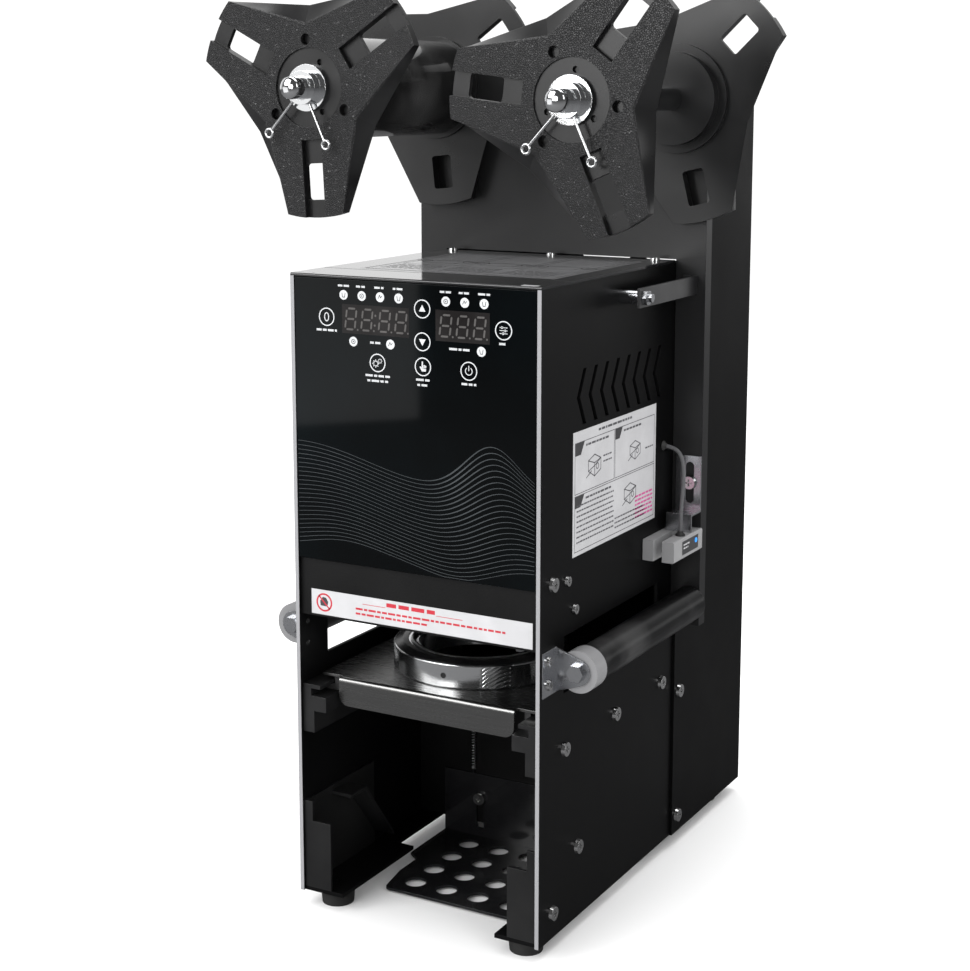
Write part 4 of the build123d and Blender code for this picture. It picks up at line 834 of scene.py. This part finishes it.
def brushed_finish(name, colour, roughness, stretch, streaks=0.15, bump=0.05, soften=0.0004):
    """A bare metal with fine lines along the axis that its stretch is lowest on."""
    finish, shader = new_finish(name, colour, roughness, 1.0)
    tree = finish.node_tree
    lines = place_group(finish, brushed, Colour=colour, Roughness=roughness, Streaks=streaks, Stretch=stretch)
    tree.links.new(lines.outputs["Colour"], shader.inputs["Base Color"])
    tree.links.new(lines.outputs["Roughness"], shader.inputs["Roughness"])
    rounded = node_in(tree, "Bevel", {"Radius": soften}, samples=4).outputs["Normal"]
    bumped = node_in(
        tree, "Bump", {"Height": lines.outputs["Height"], "Normal": rounded, "Strength": bump, "Distance": mm}
    )
    tree.links.new(bumped.outputs["Normal"], shader.inputs["Normal"])
    return finish


table_finish = brushed_finish("brushed_stainless", (0.24, 0.24, 0.237), 0.26, (30.0, 1100.0, 1100.0))
paint(table_finish, "drawer_table")
nylon_finish, *_ = textured("black_nylon", (0.02, 0.02, 0.021), 0.45, handling={"Smudge": 0.1})
paint(nylon_finish, "drawer_runners")
rail_finish, *_ = textured(
    "black_rail",
    (0.007, 0.007, 0.0075),
    0.33,
    bump=0.05,
    handling={"Dust_Colour": (0.04, 0.04, 0.04), "Dust": 0.3},
)
paint(rail_finish, "drawer_rails")
gear_steel = brushed_finish("cut_steel", (0.5, 0.5, 0.51), 0.3, (300.0, 300.0, 300.0))
paint(gear_steel, "drawer_rack", "drawer_pinion", "press_cam", "follower_pin", "guide_rods")

# ---------------------------------------------------------------- cup ring
# Turned aluminium, bright all over, with milled grip patches in pairs round its rim: one
# of shallow arcs and one of slanting lines. A set screw hole is at the front.
ring_centre = (0.0, -84.0)
ring_low, ring_high, ring_r = 177.0, 195.0, 65.0
rim_low, rim_high = 178.2, 193.6
grip_rows = 64
ring_steps = 900
grip_depth_most, grip_repeat = 0.42, 120
arc_pitch, slant_pitch = 3.0, 2.1
outer_rows = [rim_low + (rim_high - rim_low) * k / grip_rows for k in range(grip_rows + 1)]
ring_profile = [(46.0, ring_low), (64.4, ring_low), (ring_r, 177.6)]
first_grip = len(ring_profile)
ring_profile += [(ring_r, z) for z in outer_rows]
ring_profile += [(ring_r, 194.4), (64.4, ring_high), (54.0, ring_high), (54.0, 197.0), (53.5, 197.4)]
ring_profile += [(49.0, 197.4), (48.6, 197.0), (48.6, ring_high), (46.0, ring_high)]


def grip_depth(turn, z):
    """How deep the milled grip is at this angle, in degrees, and height."""
    turn = (turn + 61.3) % grip_repeat
    wave = 0.0
    if turn < 20:
        bow = z - 185.5 + 0.028 * (turn - 20) ** 2
        edge = min(1.0, turn / 1.5, (20 - turn) / 0.6)
        wave = edge * max(0.0, math.sin(2 * math.pi * bow / arc_pitch))
    elif 34 < turn < 54:
        slant = z + (turn - 34) * 0.95
        edge = min(1.0, (turn - 34) / 0.6, (54 - turn) / 1.5)
        wave = edge * max(0.0, math.sin(2 * math.pi * slant / slant_pitch))
    return grip_depth_most * wave * min(1.0, (z - rim_low) / 0.5, (rim_high - z) / 0.5)


ring_points, ring_faces, rows = [], [], len(ring_profile)
for step in range(ring_steps):
    turn = 360 * step / ring_steps
    for row, (radius, z) in enumerate(ring_profile):
        if first_grip < row < first_grip + grip_rows:
            radius -= grip_depth(turn, z)
        ring_points.append((
            ring_centre[0] + radius * math.cos(math.radians(turn)),
            ring_centre[1] + radius * math.sin(math.radians(turn)),
            z,
        ))
    a, b = step * rows, (step + 1) % ring_steps * rows
    ring_faces += [(a + r, b + r, b + (r + 1) % rows, a + (r + 1) % rows) for r in range(rows)]
ring_finish = brushed_finish("turned_aluminium", (0.84, 0.85, 0.86), 0.17, (60.0, 60.0, 1600.0), 0.05)
turned_ring = make_piece("cup_ring_turned", ring_points, ring_faces, ring_finish, "drawer", smooth=50)
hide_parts("cup_ring")
hole_turn = math.radians(-85)
hole_way = (math.cos(hole_turn), math.sin(hole_turn), 0)
hole_spot = (64.7 * hole_way[0], ring_centre[1] + 64.7 * hole_way[1], 186.2)
hole_rim = [(0.3, 0.38), (1.5, 0.42), (1.9, 0.46), (2.1, 0.38), (2.2, -0.4)]
screw_dark, *_ = textured("black_oxide_screw", (0.006, 0.006, 0.006), 0.5, 0.2)
make_piece("ring_set_screw", *turned(hole_rim, hole_spot, hole_way, 28), screw_dark, "drawer")
bevel_finish, *_ = textured(
    "dark_anodised_bevel", (0.02, 0.02, 0.021), 0.2, 0.7, handling={"Smudge": 0.1, "Grain_Scale": 2400.0}
)
paint(bevel_finish, "ring_bevel")

# ---------------------------------------------------------------- sealing head
# Aluminium carriage on bronze bushes over four rods. Under it hang the heater, the coated
# die, the toothed cutter and the polished clamp ring that presses the film on the cup.
carriage_finish = brushed_finish("milled_aluminium", (0.62, 0.63, 0.64), 0.3, (200.0, 700.0, 700.0))
paint(carriage_finish, "press_carriage", "heater_block")
bronze_finish = brushed_finish("bearing_bronze", (0.60, 0.40, 0.20), 0.3, (500.0, 500.0, 500.0))
paint(bronze_finish, "carriage_bushes")
die_finish, *_ = textured("coated_die", (0.10, 0.10, 0.095), 0.5)
paint(die_finish, "sealing_die")
blade_finish = brushed_finish("polished_steel", (0.74, 0.74, 0.74), 0.14, (80.0, 80.0, 1200.0), 0.08)
paint(blade_finish, "cutter_ring", "film_clamp_ring", "follower_roller")
motor_finish = brushed_finish("motor_can_steel", (0.42, 0.42, 0.42), 0.38, (300.0, 60.0, 300.0))
paint(motor_finish, "press_gearmotor", "drawer_gearmotor", "take_up_gearmotor")
board_finish, *_ = textured("green_board", (0.012, 0.10, 0.035), 0.4)
paint(board_finish, "control_board")
supply_finish = brushed_finish("supply_case_steel", (0.55, 0.56, 0.56), 0.4, (200.0, 900.0, 200.0))
paint(supply_finish, "power_supply", "reel_bearings")

# ---------------------------------------------------------------- springs
# Plated wire springs: four round the guide rods push the press up, and two long ones by
# the bulkhead pull the cup rest up. Each is one coiled wire with its ends closed.
spring_finish, *_ = textured("spring_wire", (0.86, 0.86, 0.87), 0.4, 1.0, handling={"Smudge": 0.2})


def wire(points, radius, sides=8):
    """Points and faces of a round wire along a line of points, in millimetres."""
    line = [Vector(point) for point in points]
    made, faces = [], []
    across = None
    for k, at in enumerate(line):
        ahead = (line[min(k + 1, len(line) - 1)] - line[max(k - 1, 0)]).normalized()
        across = ahead.orthogonal() if across is None else across - ahead * across.dot(ahead)
        across.normalize()
        up = ahead.cross(across)
        for s in range(sides):
            turn = 2 * math.pi * s / sides
            made.append(tuple(at + (across * math.cos(turn) + up * math.sin(turn)) * radius))
    for k in range(len(line) - 1):
        for s in range(sides):
            n = (s + 1) % sides
            faces.append((k * sides + s, k * sides + n, (k + 1) * sides + n, (k + 1) * sides + s))
    faces.append(tuple(range(sides)))
    faces.append(tuple(len(made) - 1 - s for s in range(sides)))
    return made, faces


def coil(x, y, low, high, radius, turns, closed_turns, wire_r):
    """A spring's centre line: closed coils at both ends and even ones between."""
    steps = 20
    total = turns + 2 * closed_turns
    line = []
    for k in range(int(total * steps) + 1):
        turn = k / steps
        shut = 2 * wire_r * 1.02
        if turn < closed_turns:
            z = low + turn * shut
        elif turn > total - closed_turns:
            z = high - (total - turn) * shut
        else:
            share = (turn - closed_turns) / turns
            z = low + closed_turns * shut + share * (high - low - 2 * closed_turns * shut)
        line.append((x + radius * math.cos(2 * math.pi * turn), y + radius * math.sin(2 * math.pi * turn), z))
    return line


rod_low, carriage_z, rod_off = 241.0, 296.0, 52.0
press_coils = [
    wire(coil(x, -84 + y, rod_low + 0.9, carriage_z - 0.9, 7.2, 4.5, 1.0, 0.8), 0.8)
    for x in (-rod_off, rod_off)
    for y in (-rod_off, rod_off)
]
press_springs = make_piece("press_return_springs", *joined(*press_coils), spring_finish, "frame", smooth=60)
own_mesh(press_springs)
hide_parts("return_springs")

spring_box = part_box("tray_springs")
spring_y = (spring_box[0][1] + spring_box[1][1]) / 2 / mm
spring_low, spring_high = spring_box[0][2] / mm, spring_box[1][2] / mm
tray_coils = [
    wire(coil(x, spring_y, spring_low + 0.6, spring_high - 0.6, 1.3, 34, 1.5, 0.5), 0.5, 8)
    for x in (-46.0, 46.0)
]
lift_springs = make_piece("cup_rest_springs", *joined(*tray_coils), spring_finish, "frame", smooth=60)
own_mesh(lift_springs)
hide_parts("tray_springs")

# ---------------------------------------------------------------- cup rest, jambs and feet
# The cup rest is gloss black sheet with punched holes. Folded satin brackets stiffen the
# feet of the plates, and four tapered rubber feet carry the machine.
tray_finish, *_ = textured(
    "gloss_black_tray",
    (0.010, 0.010, 0.011),
    0.16,
    bump=0.04,
    handling={"Dust_Colour": (0.05, 0.05, 0.05), "Dust": 0.35, "Smudge": 0.15},
    Coat_Weight=0.3,
)
paint(tray_finish, "cup_rest_tray")
jamb_finish, *_ = textured(
    "satin_bracket",
    (0.007, 0.007, 0.0073),
    0.30,
    bump=0.06,
    handling={"Dust_Colour": (0.03, 0.03, 0.03), "Dust": 0.3},
)
paint(jamb_finish, "front_jambs")
rubber_finish, *_ = textured(
    "black_rubber", (0.010, 0.010, 0.010), 0.62, bump=0.3,
    handling={"Dust_Colour": (0.06, 0.06, 0.058), "Dust": 0.4, "Grain_Scale": 1800.0}
)
paint(rubber_finish, "feet")

# ---------------------------------------------------------------- film reels
# Moulded black plastic discs: the raised faces are grained like leather and have a painted
# sheen, a lighter colour than the rest; the channels and hubs are smooth. The shafts are
# chromed, with a domed nose, a washer and a spring clip.
leather, ends, result = new_group(
    "moulded_leather_grain",
    [("Grain Scale", "Float", 720.0), ("Limit", "Float", 0.1), ("Way", "Float", -1.0)],
    [("Height", "Float"), ("Mask", "Float")],
)
where = node_in(leather, "TexCoord").outputs["Object"]
cells = node_in(
    leather, "TexVoronoi", {"Vector": where, "Scale": ends.outputs["Grain Scale"]}, feature="DISTANCE_TO_EDGE"
).outputs["Distance"]
pebble = node_in(leather, "MapRange", {"Value": cells, "From Max": 0.22}).outputs["Result"]
depth_y = node_in(leather, "SeparateXYZ", {0: where}).outputs["Y"]
outward = node_in(leather, "Math", {0: depth_y, 1: ends.outputs["Way"]}, operation="MULTIPLY").outputs[0]
past = node_in(leather, "Math", {0: outward, 1: ends.outputs["Limit"]}, operation="GREATER_THAN").outputs[0]
pebbled = node_in(leather, "Math", {0: pebble, 1: past}, operation="MULTIPLY").outputs[0]
leather.links.new(pebbled, result.inputs["Height"])
leather.links.new(past, result.inputs["Mask"])


def disc_finish(name, way, limit):
    """Black moulding that is grained wherever it stands past this limit along Y, and coloured lighter there
    as a painted sheen.
    """
    finish, shader, surface, bumped = textured(
        name, (0.0055, 0.0055, 0.0058), 0.30, bump=0.02, Specular_IOR_Level=0.5,
        handling={"Dust_Colour": (0.018, 0.018, 0.0185), "Dust": 0.5, "Smudge": 0.2, "Patch_Scale": 20.0}
    )
    tree = finish.node_tree
    grained = place_group(finish, leather, Way=way, Limit=limit)
    tree.links.new(grained.outputs["Height"], bumped.inputs["Height"])
    bumped.inputs["Strength"].default_value = 0.9
    bumped.inputs["Distance"].default_value = 0.0003
    # painted sheen: the raised grained faces take a lighter colour than the channels and hubs
    raised_face_sheen_colour = mix_colour(tree, grained.outputs["Mask"], surface.outputs["Colour"], (0.013, 0.013, 0.0136))
    tree.links.new(raised_face_sheen_colour, shader.inputs["Base Color"])
    return finish


paint(disc_finish("grained_disc_front", -1.0, 0.1470), "left_front_disc", "right_front_disc")
paint(disc_finish("grained_disc_rear", 1.0, 0.0340), "left_rear_disc", "right_rear_disc")
core_finish, *_ = textured(
    "gloss_core", (0.008, 0.008, 0.008), 0.14, handling={"Smudge": 0.1}, Coat_Weight=0.5
)
paint(core_finish, "left_film_core")
chrome_finish = brushed_finish("bright_chrome", (0.80, 0.81, 0.82), 0.10, (900.0, 60.0, 900.0), 0.05, 0.02)
paint(chrome_finish, "left_reel_shaft", "right_reel_shaft", "left_reel_retainer", "right_reel_retainer")
nose_y = front_y + 8.0
nose_r = 8.05
nose = [(nose_r, 3.2), (nose_r, 1.4), (7.7, 0.4), (6.9, -0.4), (5.4, -1.2), (3.4, -1.8), (0.6, -2.1)]
for side, reel_x, reel_z in (("left", -104.3, 602.4), ("right", 104.3, 594.4)):
    dome = turned(nose, (reel_x, nose_y, reel_z), (0, 1, 0), 40)
    make_piece(f"{side}_shaft_nose", *dome, chrome_finish, f"{side}_reel")

# ---------------------------------------------------------------- guide rollers
# Black tubes with grey end caps, turning on long bolts between zinc brackets and the panel.
# The flat braces, their bolts and all the pan screws are finished here too.
tube_black = (0.005, 0.005, 0.0053)
roller_finish, shader, surface, _ = textured(
    "roller_tube_and_cap", tube_black, 0.3, handling={"Smudge": 0.15}, Specular_IOR_Level=0.2
)
cap_area = place_group(roller_finish, beyond, Direction=(0, -1, 0), Limit=0.1421)
cap_colour = mix_colour(
    roller_finish.node_tree, cap_area.outputs["Mask"], surface.outputs["Colour"], (0.20, 0.20, 0.205)
)
roller_finish.node_tree.links.new(cap_colour, shader.inputs["Base Color"])
paint(roller_finish, "left_guide_roller", "right_guide_roller")
zinc_finish, *_ = textured(
    "bright_zinc", (0.66, 0.67, 0.69), 0.24, 1.0, bump=0.05,
    handling={"Dust_Colour": (0.48, 0.49, 0.52), "Dust": 0.8, "Smudge": 0.3, "Patch_Scale": 60.0}
)
paint(zinc_finish, "roller_brackets", "roller_axles", "brace_bolts")
bracket_black, *_ = textured("black_brace", (0.013, 0.013, 0.014), 0.35, handling={"Smudge": 0.15})
paint(bracket_black, "brace_strips")
paint(blade_finish, "panel_screws", "small_screws")

# ---------------------------------------------------------------- film sensor
# A grey moulded fork on a cranked bracket. Its right side has a black label with a small
# blue lamp and a row of marks.
sensor_finish, *_ = textured(
    "sensor_grey_moulding",
    (0.26, 0.26, 0.265),
    0.42,
    bump=0.1,
    handling={"Dust_Colour": (0.22, 0.22, 0.22), "Smudge": 0.1},
)
paint(sensor_finish, "film_sensor")
paint(zinc_finish, "sensor_bracket")
sensor_x, label_lift = half + 26.0, 0.06
sensor_face = ((sensor_x, 0, 0), (0, 1, 0), (0, 0, 1), (1, 0, 0))
print_on("sensor_label", [bar(0.5, 31, 256, 266.4)], sensor_face, sticker_dark, label_lift)
marks = words(3, 14, 263.4, 1.2, 100) + words(3, 12, 260.8, 1.2, 101)
print_on("sensor_label_marks", marks, raised(sensor_face, label_lift), sticker_white, 0.03)
lamp_finish, *_ = textured(
    "blue_lamp",
    (0.03, 0.22, 0.75),
    0.2,
    Emission_Color=(0.05, 0.35, 1.0, 1),
    Emission_Strength=0.6,
)
lamp_rim = [(1.9, 0.0), (1.9, 0.3), (1.5, 0.7), (0.8, 0.95), (0.1, 1.0)]
make_piece("sensor_lamp", *turned(lamp_rim, (125.9, 26.5, 262.6), (1, 0, 0), 24), lamp_finish, "frame")

# ---------------------------------------------------------------- mains inlet and switch
# Black moulded inlet with three blades low on the back, and a rocker switch above it. Both
# are set into holes in the rear column.
inlet_finish, *_ = textured("black_moulding", (0.014, 0.014, 0.014), 0.38, bump=0.12)
paint(inlet_finish, "mains_inlet", "power_switch")
